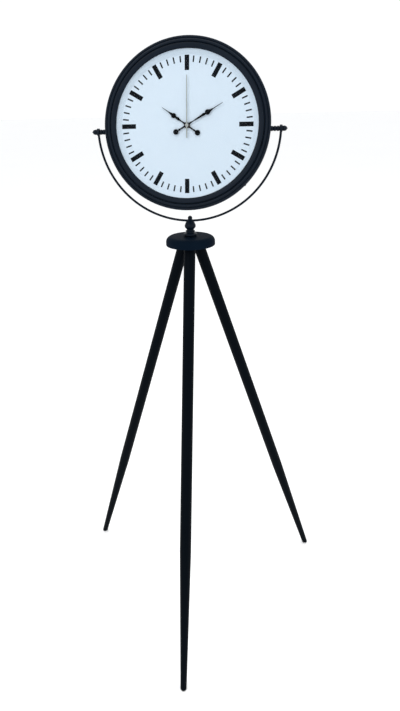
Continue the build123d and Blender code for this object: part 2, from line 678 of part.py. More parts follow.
# Going train. The second arbor carries a wheel driven by the stepping motor and a pinion that
# drives the centre wheel through the third wheel, sixty turns to one.
second_arbor = disc(SECOND_ARBOR_RADIUS, back_pivot, second_boss_front)
second_arbor += wheel(SECOND_PINION_TEETH, SECOND_MODULE, second_pinion_low, second_pinion_high)
second_arbor += wheel(SECOND_WHEEL_TEETH, STEP_MODULE, second_wheel_low, second_wheel_high)
save("second_arbor", dial_place, single(second_arbor))

third = wheel(THIRD_WHEEL_TEETH, SECOND_MODULE, third_wheel_low, third_wheel_high, 0, third_wheel_angle)
third += wheel(THIRD_PINION_TEETH, THIRD_MODULE, third_pinion_low, third_pinion_high)
third += disc(SHAFT_RADIUS, box_inside_back, box_inside_front)
third += disc(PIVOT_RADIUS, back_pivot, front_pivot)
save("third_wheel", dial_place, Pos(*third_spot, 0) * single(third))

centre_wheel = wheel(CENTRE_WHEEL_TEETH, THIRD_MODULE, centre_wheel_low, centre_wheel_high,
                     MINUTE_BACK_RADIUS + RUNNING_GAP, centre_wheel_angle)
save("centre_wheel", dial_place, centre_wheel)

shaft_past = 1.0
step = wheel(STEP_WHEEL_TEETH, ROTOR_MODULE, step_wheel_low, step_wheel_high)
step += wheel(STEP_PINION_TEETH, STEP_MODULE, step_pinion_low, step_pinion_high, 0, step_pinion_angle)
step += disc(SHAFT_RADIUS, box_inside_back, step_pinion_high + shaft_past)
step += disc(PIVOT_RADIUS, back_pivot, step_pinion_high + shaft_past + PIVOT_LENGTH)
save("step_wheel", dial_place, Pos(*step_spot, 0) * single(step))

rotor = wheel(ROTOR_PINION_TEETH, ROTOR_MODULE, rotor_pinion_low, rotor_pinion_high, 0, rotor_angle)
rotor += disc(SHAFT_RADIUS, box_inside_back, bridge_high)
rotor += disc(PIVOT_RADIUS, back_pivot, bridge_high + PIVOT_LENGTH)
magnet = disc(MAGNET_RADIUS, magnet_low, magnet_high, SHAFT_RADIUS)
save("rotor_pinion", dial_place, Pos(*rotor_spot, 0) * single(rotor))
save("rotor_magnet", dial_place, Pos(*rotor_spot, 0) * magnet)

# Setting train. The cannon pinion carries the minute hand and turns the hour wheel twelve times
# slower through the minute wheel. The knob at the back turns the same minute wheel by hand.
cannon_back = centre_wheel_low - 0.3
cannon = disc(MINUTE_BACK_RADIUS, cannon_back, cannon_high)
cannon += disc(MINUTE_TUBE_RADIUS, cannon_high, hand_nut_back + HAND_NUT_THICKNESS)
cannon += wheel(CANNON_TEETH, SETTING_MODULE, cannon_low, cannon_high)
cannon -= disc(MINUTE_BORE_RADIUS, cannon_back - 1, second_boss_front)
save("cannon_pinion", dial_place, single(cannon))
spring_back = centre_wheel_high + CLUTCH_SPRING_THICKNESS
save("clutch_spring", dial_place,
     disc(CLUTCH_SPRING_RADIUS, spring_back, spring_back + CLUTCH_SPRING_THICKNESS, MINUTE_BACK_RADIUS))

minute_wheel = wheel(MINUTE_WHEEL_TEETH, SETTING_MODULE, minute_wheel_low, minute_wheel_high, 0,
                     minute_wheel_angle)
minute_wheel += wheel(MINUTE_PINION_TEETH, SETTING_MODULE, minute_pinion_low, minute_pinion_high)
minute_wheel -= disc(POST_RADIUS + RUNNING_GAP, minute_wheel_low - 1, box_inside_front)
save("minute_wheel", dial_place, Pos(*minute_wheel_spot, 0) * single(minute_wheel))

hour_wheel = wheel(HOUR_WHEEL_TEETH, SETTING_MODULE, hour_wheel_low, hour_wheel_high, 0, hour_wheel_angle)
hour_wheel += disc(HOUR_TUBE_RADIUS, hour_wheel_low, hour_hand_back + HAND_THICKNESS + 0.2)
hour_wheel -= disc(HOUR_BORE_RADIUS, hour_wheel_low - 1, hand_nut_back)
save("hour_wheel", dial_place, single(hour_wheel))

grip_front = box_back - KNOB_OFF_BOX
grip_back = grip_front - KNOB_HEIGHT
knob = wheel(KNOB_TEETH, SETTING_MODULE, knob_wheel_low, knob_wheel_high, 0, knob_angle)
knob += disc(KNOB_SHAFT_RADIUS, grip_front - 1, knob_wheel_high)
knob += disc(PIVOT_RADIUS, knob_wheel_high - 1, front_pivot)
knob_grip = disc(KNOB_RADIUS, grip_back, grip_front)
groove = Pos(KNOB_RADIUS + 0.2, 0, 0) * disc(KNOB_GROOVE_RADIUS, grip_back - 1, grip_front + 1)
for cut in around(groove, KNOB_GROOVES):
    knob_grip -= cut
knob += knob_grip
save("setting_knob", dial_place, Pos(*knob_spot, 0) * single(knob))


# Hands: flat blackened metal, each a tapering needle with a round boss, an oval boss, a hub and a
# round counterweight on a small collar. Each pair is the needle's half width and its distance out.
def hand(length, boss_at, boss_radius, oval_at, tail_at, back, tube_radius, clock_angle):
    """A hand that points along +Y before it is turned clockwise to its clock angle."""
    side = [(0.5, length), (1.0, boss_at + 2.6 * boss_radius), (3.6, boss_at + 0.6 * boss_radius),
            (1.6, boss_at - boss_radius), (2.6, oval_at + 2.5), (2.6, oval_at - 2.5),
            (1.0, HUB_RADIUS + 9.0), (2.6, HUB_RADIUS), (1.9, -HUB_RADIUS), (1.3, tail_at)]
    other_side = [(-x, y) for x, y in reversed(side)]
    shape = make_face(Polyline(*side, *other_side, close=True))
    shape += Pos(0, boss_at) * Circle(boss_radius)
    shape += Pos(0, oval_at) * Ellipse(3.3, 5.4)
    shape += Pos(0, 0.68 * tail_at) * Ellipse(2.6, 1.8)
    shape += Pos(0, tail_at) * Circle(COUNTERWEIGHT_RADIUS)
    shape += Circle(HUB_RADIUS)
    solid = Pos(0, 0, back) * extrude(shape, HAND_THICKNESS)
    solid -= disc(tube_radius, back - 1, back + HAND_THICKNESS + 1)
    return Rot(0, 0, -clock_angle) * single(solid)


save("minute_hand", dial_place,
     hand(MINUTE_LENGTH, boss_at=57.2, boss_radius=6.2, oval_at=45.8, tail_at=-30.5,
          back=minute_hand_back, tube_radius=MINUTE_TUBE_RADIUS, clock_angle=MINUTE_ANGLE))
save("hour_hand", dial_place,
     hand(HOUR_LENGTH, boss_at=39.0, boss_radius=5.9, oval_at=26.9, tail_at=-31.1,
          back=hour_hand_back, tube_radius=HOUR_TUBE_RADIUS, clock_angle=HOUR_ANGLE))
save("hand_nut", dial_place,
     disc(HAND_NUT_DIAMETER / 2, hand_nut_back, hand_nut_back + HAND_NUT_THICKNESS, MINUTE_TUBE_RADIUS))
half_width = SECOND_HAND_WIDTH / 2
half_tip = SECOND_TIP_WIDTH / 2
needle = make_face(Polyline(
    (-half_tip, SECOND_LENGTH), (-half_width, 0), (-half_width, -SECOND_TAIL),
    (half_width, -SECOND_TAIL), (half_width, 0), (half_tip, SECOND_LENGTH), close=True))
second_hand = Pos(0, 0, second_hand_back) * extrude(needle + Circle(SECOND_HUB_RADIUS), SECOND_HAND_THICKNESS)
second_hand += disc(SECOND_BOSS_RADIUS, second_hand_back, second_boss_front)
second_hand -= disc(SECOND_ARBOR_RADIUS, second_hand_back - 1, second_boss_front + 1)
save("second_hand", dial_place, Rot(0, 0, -SECOND_ANGLE) * single(second_hand))

# Movement box: a moulded tray with the threaded bush, closed by a back plate. The cell lies in an
# open bay along its lower edge, between the bay's wall and the box's.
cell_radius = CELL_DIAMETER / 2
cell_total = CELL_LENGTH + CELL_BUTTON
cell_y = BAY_WALL_Y - BAY_WALL / 2 - CELL_GAP_ABOVE - cell_radius
cell_depth = box_inside_front - CELL_GAP_FRONT - cell_radius
box_bottom = cell_y - cell_radius - CELL_GAP_BELOW - BOX_WALL
inner_width = cell_total + 2 * CONTACT_SPACE
box_width = inner_width + 2 * BOX_WALL
box_height = BOX_TOP - box_bottom
box_middle = (BOX_TOP + box_bottom) / 2
tray = Pos(0, box_middle, box_back) * extrude(RectangleRounded(box_width, box_height, BOX_CORNER), BOX_DEPTH)
tray -= Pos(0, box_middle, box_back - 1) * extrude(
    RectangleRounded(inner_width, box_height - 2 * BOX_WALL, BOX_CORNER - BOX_WALL),
    BOX_DEPTH + 1 - BOX_WALL)
tray += block(0, BAY_WALL_Y, box_inside_back, box_inside_front, inner_width, BAY_WALL)
tray += disc(BUSH_RADIUS, box_inside_front, bush_front)
tray += Pos(*minute_wheel_spot, 0) * disc(POST_RADIUS, minute_wheel_low - 0.3, box_inside_front)
tray -= disc(HOUR_TUBE_RADIUS + 0.07, box_inside_front - 1, bush_front + 1)
pivot_hole = disc(PIVOT_RADIUS + RUNNING_GAP, box_inside_front - 1, front_pivot + 0.2)
tray -= Pos(*third_spot, 0) * pivot_hole
tray -= Pos(*knob_spot, 0) * pivot_hole
save("movement_tray", dial_place, single(tray))

back_low_y = BAY_WALL_Y - BAY_WALL / 2
back_high_y = BOX_TOP - BOX_WALL - BACK_GAP
back_plate = block(0, (back_low_y + back_high_y) / 2, box_back, box_inside_back,
                   inner_width - 2 * BACK_GAP, back_high_y - back_low_y)
back_plate = fillet(back_plate.edges().filter_by(Axis.Z).group_by(Axis.Y)[-1], BOX_CORNER)
back_hole = disc(PIVOT_RADIUS + RUNNING_GAP, back_pivot - 0.2, box_inside_back + 1)
for place in (third_spot, step_spot, rotor_spot):
    back_plate -= Pos(*place, 0) * back_hole
back_plate -= disc(SECOND_ARBOR_RADIUS + RUNNING_GAP, back_pivot - 0.2, box_inside_back + 1)
back_plate -= Pos(*knob_spot, 0) * disc(KNOB_SHAFT_RADIUS + RUNNING_GAP, box_back - 1, box_inside_back + 1)
save("movement_back", dial_place, single(back_plate))

# A bridge on a square pillar holds the front ends of the step wheel's and the rotor's shafts.
BRIDGE_LENGTH, BRIDGE_WIDTH, PILLAR_SIZE, PILLAR_GAP = 11.0, 4.0, 3.0, 0.2
pillar_x, pillar_y = 16.8, 7.2
bridge_mid = spot(STEP_DIRECTION, (step_distance + rotor_distance) / 2)
bridge = Pos(*bridge_mid, 0) * Rot(0, 0, STEP_DIRECTION) * block(0, 0, bridge_low, bridge_high,
                                                                 BRIDGE_LENGTH, BRIDGE_WIDTH)
arm_low_y = bridge_mid[1]
arm_high_y = pillar_y + PILLAR_SIZE / 2
bridge += block(pillar_x, (arm_low_y + arm_high_y) / 2, bridge_low, bridge_high,
                PILLAR_SIZE, arm_high_y - arm_low_y)
bridge += block(pillar_x, pillar_y, box_inside_back, bridge_high, PILLAR_SIZE, PILLAR_SIZE)
for place in (step_spot, rotor_spot):
    bridge -= Pos(*place, 0) * disc(SHAFT_RADIUS + RUNNING_GAP, bridge_low - 1, bridge_high + 1)
save("rotor_bridge", dial_place, single(bridge))

# Dial fixing: soft gasket behind the dial, then a brass washer and nut on the threaded bush in front.
bush_nut_front = BUSH_WASHER_THICKNESS + BUSH_NUT_THICKNESS
save("movement_gasket", dial_place, disc(MOVEMENT_GASKET_DIAMETER / 2, box_front, dial_back, BUSH_RADIUS))
save("bush_washer", dial_place, disc(BUSH_WASHER_DIAMETER / 2, 0, BUSH_WASHER_THICKNESS, BUSH_RADIUS))
save("bush_nut", dial_place, hexagon(BUSH_NUT_WIDTH, BUSH_WASHER_THICKNESS, bush_nut_front, BUSH_RADIUS))

# Stepping motor: stator plate round the magnet, its two arms joined by the core through the coil.
coil_high_y = COIL_LOW_Y + COIL_LENGTH
coil_depth = (stator_low + stator_high) / 2
stator = Pos(*rotor_spot, 0) * disc(MAGNET_RADIUS + MAGNET_GAP + STATOR_RING, stator_low, stator_high)
stator += block(16.2, -2.5, stator_low, stator_high, 4.0, 5.6)
stator += block(17.8, 2.5, stator_low, stator_high, 1.6, COIL_LENGTH + 2 * STATOR_ARM)
for y in (COIL_LOW_Y - STATOR_ARM / 2, coil_high_y + STATOR_ARM / 2):
    stator += block(21.4, y, stator_low, stator_high, 8.8, STATOR_ARM)
stator -= Pos(*rotor_spot, 0) * disc(MAGNET_RADIUS + MAGNET_GAP, stator_low - 1, stator_high + 1)
stator -= block(pillar_x, pillar_y, stator_low - 1, stator_high + 1,
                PILLAR_SIZE + 2 * PILLAR_GAP, PILLAR_SIZE + 2 * PILLAR_GAP)
coil_place = Location((COIL_X, COIL_LOW_Y, coil_depth)) * Rot(-90, 0, 0)
barrel = CORE_RADIUS + BOBBIN_WALL
bobbin = disc(barrel, 0, COIL_LENGTH, CORE_RADIUS)
bobbin += disc(COIL_RADIUS, 0, BOBBIN_FLANGE, CORE_RADIUS)
bobbin += disc(COIL_RADIUS, COIL_LENGTH - BOBBIN_FLANGE, COIL_LENGTH, CORE_RADIUS)
winding = disc(COIL_RADIUS - 0.4, BOBBIN_FLANGE, COIL_LENGTH - BOBBIN_FLANGE, barrel)
save("stator", dial_place, *stator.solids())
save("coil_core", dial_place, coil_place * disc(CORE_RADIUS, 0, COIL_LENGTH))
save("coil_bobbin", dial_place, coil_place * single(bobbin))
save("coil_winding", dial_place, coil_place * winding)

# Circuit board with its crystal, and the cell with a spring contact at each end.
board_low, board_high = layer(4.4, BOARD_THICKNESS)
save("circuit_board", dial_place, block(BOARD_X, BOARD_Y, board_low, board_high, BOARD_WIDTH, BOARD_LENGTH))
crystal_place = Location((-20.0, 22.4, board_high + CRYSTAL_RADIUS)) * Rot(0, 90, 0)
save("crystal", dial_place, crystal_place * disc(CRYSTAL_RADIUS, 0, CRYSTAL_LENGTH))
contact_x = inner_width / 2 - CONTACT_FROM_WALL
contacts = [block(side * contact_x, cell_y, cell_depth - CONTACT_WIDTH / 2, cell_depth + CONTACT_WIDTH / 2,
                  CONTACT_THICKNESS, CONTACT_WIDTH) for side in (1, -1)]
save("cell_contacts", dial_place, *contacts)
cell = turned(
    (0, 0),
    (cell_radius - CELL_EDGE, 0),
    (cell_radius, CELL_EDGE, cell_radius - (1 - ROUND) * CELL_EDGE, (1 - ROUND) * CELL_EDGE),
    (cell_radius, CELL_LENGTH - CELL_EDGE),
    (cell_radius - CELL_EDGE, CELL_LENGTH,
     cell_radius - (1 - ROUND) * CELL_EDGE, CELL_LENGTH - (1 - ROUND) * CELL_EDGE),
    (CELL_BUTTON_DIAMETER / 2, CELL_LENGTH),
    (CELL_BUTTON_DIAMETER / 2, cell_total),
    (0, cell_total),
)
cell_place = Location((-cell_total / 2, cell_y, cell_depth)) * Rot(0, 90, 0)
save("cell", dial_place, cell_place * cell)
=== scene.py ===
import json
import math

import bmesh
import bpy
from mathutils import Matrix, Vector


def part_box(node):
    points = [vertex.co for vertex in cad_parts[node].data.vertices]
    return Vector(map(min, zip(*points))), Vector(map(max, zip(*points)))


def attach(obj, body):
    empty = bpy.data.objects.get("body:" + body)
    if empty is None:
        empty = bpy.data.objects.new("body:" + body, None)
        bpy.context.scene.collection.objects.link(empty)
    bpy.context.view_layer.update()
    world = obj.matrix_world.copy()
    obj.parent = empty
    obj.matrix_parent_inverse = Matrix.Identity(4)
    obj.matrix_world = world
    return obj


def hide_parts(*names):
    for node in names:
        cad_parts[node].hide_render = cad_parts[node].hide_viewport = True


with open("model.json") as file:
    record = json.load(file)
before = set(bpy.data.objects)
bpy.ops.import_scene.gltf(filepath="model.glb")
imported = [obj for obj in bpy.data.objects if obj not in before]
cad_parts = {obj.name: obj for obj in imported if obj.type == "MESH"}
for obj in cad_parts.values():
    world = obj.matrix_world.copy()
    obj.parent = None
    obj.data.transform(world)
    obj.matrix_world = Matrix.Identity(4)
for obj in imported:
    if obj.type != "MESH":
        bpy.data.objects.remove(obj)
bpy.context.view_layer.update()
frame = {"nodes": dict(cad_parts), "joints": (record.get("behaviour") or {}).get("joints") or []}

nodes = frame["nodes"]
joints = {joint["name"]: joint for joint in frame["joints"]}
MM = 0.001

# Camera. It stands in front of the clock, a little above the dial and to its right, and looks down
# over the whole stand.
CAMERA_PLACE = (0.1738, -1.5083, 1.5067)
CAMERA_TURN = (67.851, 1.670, 7.021)
camera_data = bpy.data.cameras.new("camera")
camera_data.lens = 31.99
camera_data.shift_x = 0.0326
camera_data.shift_y = -0.0240
camera = bpy.data.objects.new("camera", camera_data)
camera.location = CAMERA_PLACE
camera.rotation_euler = [math.radians(turn) for turn in CAMERA_TURN]
bpy.context.scene.collection.objects.link(camera)
bpy.context.scene.camera = camera

# Studio. A wide pale floor in an even white surround, a large soft light overhead, a smaller one in
# front and to the left, and a weak one on the right.
FLOOR_HALF_WIDTH = 30.0


class Signal:
    """A shader value that can be added, multiplied and fed to other nodes."""

    def __init__(self, tree, socket=None):
        self.tree = tree
        self.socket = socket

    def make(self, kind, settings=None, inputs=None, out=0):
        node = self.tree.nodes.new(kind)
        for name, value in (settings or {}).items():
            setattr(node, name, value)
        for name, value in (inputs or {}).items():
            if isinstance(value, Signal):
                self.tree.links.new(value.socket, node.inputs[name])
            else:
                node.inputs[name].default_value = value
        return Signal(self.tree, node.outputs[out])

    def maths(self, operation, other, swapped=False):
        first, second = (other, self) if swapped else (self, other)
        return self.make("ShaderNodeMath", {"operation": operation}, {0: first, 1: second})

    def __add__(self, other):
        return self.maths("ADD", other)

    __radd__ = __add__

    def __sub__(self, other):
        return self.maths("SUBTRACT", other)

    def __rsub__(self, other):
        return self.maths("SUBTRACT", other, swapped=True)

    def __mul__(self, other):
        return self.maths("MULTIPLY", other)

    __rmul__ = __mul__

    def __gt__(self, other):
        return self.maths("GREATER_THAN", other)

    def sine(self):
        return self.maths("SINE", 0.0)

    def clamp(self, low, high, to_low=0.0, to_high=1.0):
        return self.make("ShaderNodeMapRange", {"clamp": True},
                         {"Value": self, "From Min": low, "From Max": high,
                          "To Min": to_low, "To Max": to_high})

    def blend(self, dark, light):
        return self.make("ShaderNodeMix", {"data_type": "RGBA"},
                         {"Factor": self, 6: (*dark, 1.0), 7: (*light, 1.0)}, out=2)

    def position(self, stretch=(1.0, 1.0, 1.0), matrix=None):
        """Place on the piece, in metres, seen along the axes of the given matrix."""
        coordinates = self.make("ShaderNodeTexCoord", out=3)
        if matrix is None and stretch == (1.0, 1.0, 1.0):
            return coordinates
        settled = coordinates
        if matrix is not None:
            inverse = matrix.inverted()
            settled = self.make("ShaderNodeMapping", None,
                                {"Vector": settled, "Location": inverse.to_translation(),
                                 "Rotation": inverse.to_euler()})
        return self.make("ShaderNodeMapping", None, {"Vector": settled, "Scale": stretch})

    def noise(self, scale, detail=3.0, rough=0.5):
        """Soft noise read at this vector."""
        return self.make("ShaderNodeTexNoise", None,
                         {"Vector": self, "Scale": scale, "Detail": detail, "Roughness": rough})

    def part(self, name):
        """One coordinate of this vector."""
        return self.make("ShaderNodeSeparateXYZ", None, {0: self}, out="XYZ".index(name))


def material(name, colour, roughness, metallic=0.0, **constants):
    """A new material with one shader. Returns the material, its shader and an empty signal."""
    made = bpy.data.materials.new(name)
    made.use_nodes = True
    tree = made.node_tree
    shader = tree.nodes["Principled BSDF"]
    shader.inputs["Base Color"].default_value = (*colour, 1.0)
    shader.inputs["Roughness"].default_value = roughness
    shader.inputs["Metallic"].default_value = metallic
    for socket, value in constants.items():
        shader.inputs[socket.replace("_", " ")].default_value = value
    return made, shader, Signal(tree)


def feed(shader, **signals):
    """Links varying values to the shader's sockets."""
    for socket, signal in signals.items():
        signal.tree.links.new(signal.socket, shader.inputs[socket.replace("_", " ")])


def relief(shader, height, depth, strength=1.0):
    """Gives the shader a bumpy surface: height runs from 0 to 1 over the given depth in metres."""
    bump = height.make("ShaderNodeBump", None,
                       {"Height": height, "Distance": depth, "Strength": strength})
    feed(shader, Normal=bump)


floor_paint, floor_shader, blank = material("studio_paper", (0.95, 0.95, 0.95), 0.9)
feed(floor_shader, Base_Color=blank.position().noise(0.6).blend((0.94, 0.94, 0.94), (0.96, 0.96, 0.96)))
paper = bmesh.new()
bmesh.ops.create_grid(paper, x_segments=1, y_segments=1, size=FLOOR_HALF_WIDTH)
paper_mesh = bpy.data.meshes.new("studio_paper")
paper.to_mesh(paper_mesh)
paper.free()
paper_mesh.materials.append(floor_paint)
paper_sheet = bpy.data.objects.new("studio_paper", paper_mesh)
bpy.context.scene.collection.objects.link(paper_sheet)

surround = bpy.data.worlds.new("surround")
surround.use_nodes = True
surround.node_tree.nodes["Background"].inputs["Color"].default_value = (0.98, 0.99, 1.0, 1.0)
surround.node_tree.nodes["Background"].inputs["Strength"].default_value = 1.05
bpy.context.scene.world = surround
bpy.context.scene.view_settings.view_transform = "Standard"


def soft_light(name, place, target, size, power):
    """A square soft light of the given width, aimed at a point."""
    data = bpy.data.lights.new(name, "AREA")
    data.size = size
    data.energy = power
    light = bpy.data.objects.new(name, data)
    light.location = place
    light.rotation_euler = (Vector(target) - Vector(place)).to_track_quat("-Z", "Y").to_euler()
    bpy.context.scene.collection.objects.link(light)


soft_light("overhead", place=(0.0, 0.3, 4.6), target=(0.0, 0.3, 0.0), size=5.0, power=90.0)
soft_light("key", place=(-1.6, -3.0, 3.4), target=(0.0, 0.1, 1.3), size=1.8, power=30.0)
soft_light("fill", place=(2.6, -2.2, 2.2), target=(0.0, 0.1, 1.0), size=1.2, power=8.0)

# Legs. Three turned hardwood legs in black lacquer, straight for two thirds of their length and
# then tapering to a rounded toe. Each is screwed into the head on a hidden stud.
STAND_AXIS = Vector(joints["yoke_swivel"]["pos_m"])
HEAD_LOW, HEAD_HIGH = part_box("head_disc")
LEG_TOP_RADIUS = 21.5 * MM
FOOT_RADIUS = 413.0 * MM
LEG_RADIUS = 15.0 * MM
LEG_TOE_RADIUS = 8.35 * MM
LEG_TOE_ROUNDING = 4.0 * MM
LEG_TAPER_START = 0.68
PAD_HEIGHT = 4.0 * MM
SMOOTH_LIMIT = math.radians(32)


def wire(start, *moves):
    """A chain of edges in the XZ plane. A move is an end (x, z), or (centre x, centre z, degrees)."""
    shape = bmesh.new()
    last = shape.verts.new((start[0], 0.0, start[1]))
    for move in moves:
        if len(move) == 2:
            grown = bmesh.ops.extrude_vert_indiv(shape, verts=[last])
            last = grown["verts"][0]
            last.co = (move[0], 0.0, move[1])
        else:
            steps = max(3, int(abs(move[2]) / 9))
            grown = bmesh.ops.spin(shape, geom=[last], cent=(move[0], 0.0, move[1]), axis=(0, 1, 0),
                                   angle=math.radians(move[2]), steps=steps)
            last = [item for item in grown["geom_last"] if isinstance(item, bmesh.types.BMVert)][0]
    return shape


def turn(shape, steps=72):
    """Turns a chain of edges about Z into a closed surface."""
    bmesh.ops.spin(shape, geom=shape.verts[:] + shape.edges[:], cent=(0, 0, 0), axis=(0, 0, 1),
                   angle=2 * math.pi, steps=steps, use_merge=True)
    bmesh.ops.remove_doubles(shape, verts=shape.verts[:], dist=1e-6)
    bmesh.ops.recalc_face_normals(shape, faces=shape.faces[:])
    return shape


def absorb(shape, other):
    """Adds the surface of another shape to this one and frees the other."""
    part = bpy.data.meshes.new("part")
    other.to_mesh(part)
    other.free()
    shape.from_mesh(part)
    bpy.data.meshes.remove(part)


def piece(name, shape, body, slot, finish, *cad_names, place=None):
    """Makes a finished piece from a shape, in place, riding on its body."""
    if place is not None:
        bmesh.ops.transform(shape, matrix=place, verts=shape.verts[:])
    for face in shape.faces:
        face.smooth = True
    for edge in shape.edges:
        if len(edge.link_faces) == 2 and edge.calc_face_angle(0.0) > SMOOTH_LIMIT:
            edge.smooth = False
    mesh = bpy.data.meshes.new(name)
    shape.to_mesh(mesh)
    shape.free()
    mesh.materials.append(finish)
    made = bpy.data.objects.new(name, mesh)
    bpy.context.scene.collection.objects.link(made)
    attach(made, body)
    if cad_names:
        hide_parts(*cad_names)
    return made


leg_lean = math.atan2(FOOT_RADIUS - LEG_TOP_RADIUS, HEAD_LOW.z)
leg_length = HEAD_LOW.z / math.cos(leg_lean)
for name, direction in (("leg_front", -90), ("leg_right", 30), ("leg_left", 150)):
    leg_place = (Matrix.Translation((0, STAND_AXIS.y, 0)) @ Matrix.Rotation(math.radians(direction), 4, "Z")
                 @ Matrix.Translation((LEG_TOP_RADIUS, 0, HEAD_LOW.z))
                 @ Matrix.Rotation(math.pi - leg_lean, 4, "Y"))
    lacquer, shader, blank = material("black_lacquer_" + name, (0.002, 0.003, 0.004), 0.46,
                                      Specular_IOR_Level=0.025)
    along = blank.position((14.0, 14.0, 1.1), leg_place)
    grain = along.noise(60.0, 5.0, 0.62)
    patches = blank.position((1.0, 1.0, 0.4), leg_place).noise(26.0, 3.0)
    feed(shader, Base_Color=grain.blend((0.0004, 0.0014, 0.0028), (0.0014, 0.0032, 0.0055)),
         Roughness=patches.clamp(0.3, 0.7, 0.38, 0.52))
    relief(shader, grain, 0.00012, 0.55)
    outline = wire((0.0, -LEG_RADIUS), (LEG_RADIUS, -LEG_RADIUS),
                   (LEG_RADIUS, leg_length * LEG_TAPER_START),
                   (LEG_TOE_RADIUS, leg_length - LEG_TOE_ROUNDING),
                   (LEG_TOE_RADIUS - LEG_TOE_ROUNDING, leg_length - LEG_TOE_ROUNDING, -75),
                   (0.0, leg_length))
    leg = turn(outline, 48)
    bmesh.ops.transform(leg, matrix=leg_place, verts=leg.verts[:])
    for level, up in ((HEAD_LOW.z, 1.0), (PAD_HEIGHT, -1.0)):
        cut = bmesh.ops.bisect_plane(leg, geom=leg.verts[:] + leg.edges[:] + leg.faces[:],
                                     plane_co=(0, 0, level), plane_no=(0, 0, up), clear_outer=True)
        rim = [item for item in cut["geom_cut"] if isinstance(item, bmesh.types.BMEdge)]
        bmesh.ops.holes_fill(leg, edges=rim)
    bmesh.ops.recalc_face_normals(leg, faces=leg.faces[:])
    piece(name + "_turned", leg, "stand", "black_wood", lacquer, name)

# Foot pads. Moulded rubber buttons under the toes, each with a rounded lower edge and a shallow
# hollow in the middle of its sole.
PAD_RADIUS = 6.0 * MM
PAD_DISH = 0.5 * MM
PAD_EDGE = 1.0 * MM
PAD_CHAMFER = 0.4 * MM
rubber, shader, blank = material("moulded_rubber", (0.022, 0.022, 0.023), 0.72, Sheen_Weight=0.15)
speckle = blank.position().noise(2600.0, 2.0)
feed(shader, Base_Color=speckle.blend((0.016, 0.016, 0.017), (0.034, 0.034, 0.035)),
     Roughness=speckle.clamp(0.3, 0.7, 0.62, 0.82))
relief(shader, speckle, 0.00008, 0.6)
pads = bmesh.new()
for direction in (-90, 30, 150):
    pad = turn(wire((0.0, PAD_DISH), (0.45 * PAD_RADIUS, PAD_DISH), (0.55 * PAD_RADIUS, 0.0),
                    (PAD_RADIUS - PAD_EDGE, 0.0), (PAD_RADIUS - PAD_EDGE, PAD_EDGE, -90),
                    (PAD_RADIUS, PAD_HEIGHT - PAD_CHAMFER), (PAD_RADIUS - PAD_CHAMFER, PAD_HEIGHT),
                    (0.0, PAD_HEIGHT)), 40)
    bmesh.ops.transform(pad, matrix=Matrix.Translation((0, STAND_AXIS.y, 0))
                        @ Matrix.Rotation(math.radians(direction), 4, "Z")
                        @ Matrix.Translation((FOOT_RADIUS, 0, 0)), verts=pad.verts[:])
    absorb(pads, pad)
piece("foot_pads_moulded", pads, "stand", "rubber_pad", rubber, "foot_pads")

# Head. A turned disc with a shouldered upper edge and a small round at the bottom, sprayed in a
# flatter black than the metalwork above it.
HEAD_RADIUS = (HEAD_HIGH.x - HEAD_LOW.x) / 2
HEAD_SIDE = 9.0 * MM
SHOULDER_IN = 14.5 * MM
SHOULDER_STEPS = 10
HEAD_EDGE = 1.5 * MM
POCKET_RADIUS = 6.8 * MM
POCKET_DEPTH = 8.0 * MM
BOLT_HOLE = 3.05 * MM


def black_paint(name, shine, roughness):
    """Black paint with the fine grain of a sprayed coat. Its base colour carries a faint blue tint in
    random patches: a painted sheen that stands in for the lamps' bluish reflections.
    """
    made, shader, blank = material(name, (0.004, 0.007, 0.012), roughness, Specular_IOR_Level=shine)
    spray = blank.position().noise(420.0, 2.0, 0.5)
    painted_sheen_patches = blank.position().noise(19.0, 3.0, 0.55)
    # The blue in both colours is a painted reflection of the lamps' sheen laid over the paint's own
    # near-black. The same patches also vary the roughness.
    feed(shader, Base_Color=painted_sheen_patches.blend((0.0010, 0.0040, 0.0095), (0.0028, 0.0078, 0.0160)),
         Roughness=painted_sheen_patches.clamp(0.3, 0.7, roughness - 0.05, roughness + 0.05))
    relief(shader, spray, 0.00005, 0.45)
    return made


flat_paint = black_paint("flat_black_paint", 0.015, 0.55)
paint = black_paint("satin_black_paint", 0.11, 0.36)
shoulder_up = HEAD_HIGH.z - HEAD_LOW.z - HEAD_SIDE
shoulder = []
for step in range(SHOULDER_STEPS + 1):
    swing = math.pi / 2 * step / SHOULDER_STEPS
    shoulder.append((HEAD_RADIUS - SHOULDER_IN + SHOULDER_IN * math.sin(swing),
                     HEAD_LOW.z + HEAD_SIDE + shoulder_up * math.cos(swing)))
head = wire((BOLT_HOLE, HEAD_HIGH.z), *shoulder,
            (HEAD_RADIUS, HEAD_LOW.z + HEAD_EDGE), (HEAD_RADIUS - HEAD_EDGE, HEAD_LOW.z + HEAD_EDGE, 90),
            (POCKET_RADIUS, HEAD_LOW.z), (POCKET_RADIUS, HEAD_LOW.z + POCKET_DEPTH),
            (BOLT_HOLE, HEAD_LOW.z + POCKET_DEPTH), (BOLT_HOLE, HEAD_HIGH.z))
on_stand = Matrix.Translation((0, STAND_AXIS.y, 0))
piece("head_disc_turned", turn(head, 96), "stand", "black_paint", flat_paint, "head_disc", place=on_stand)

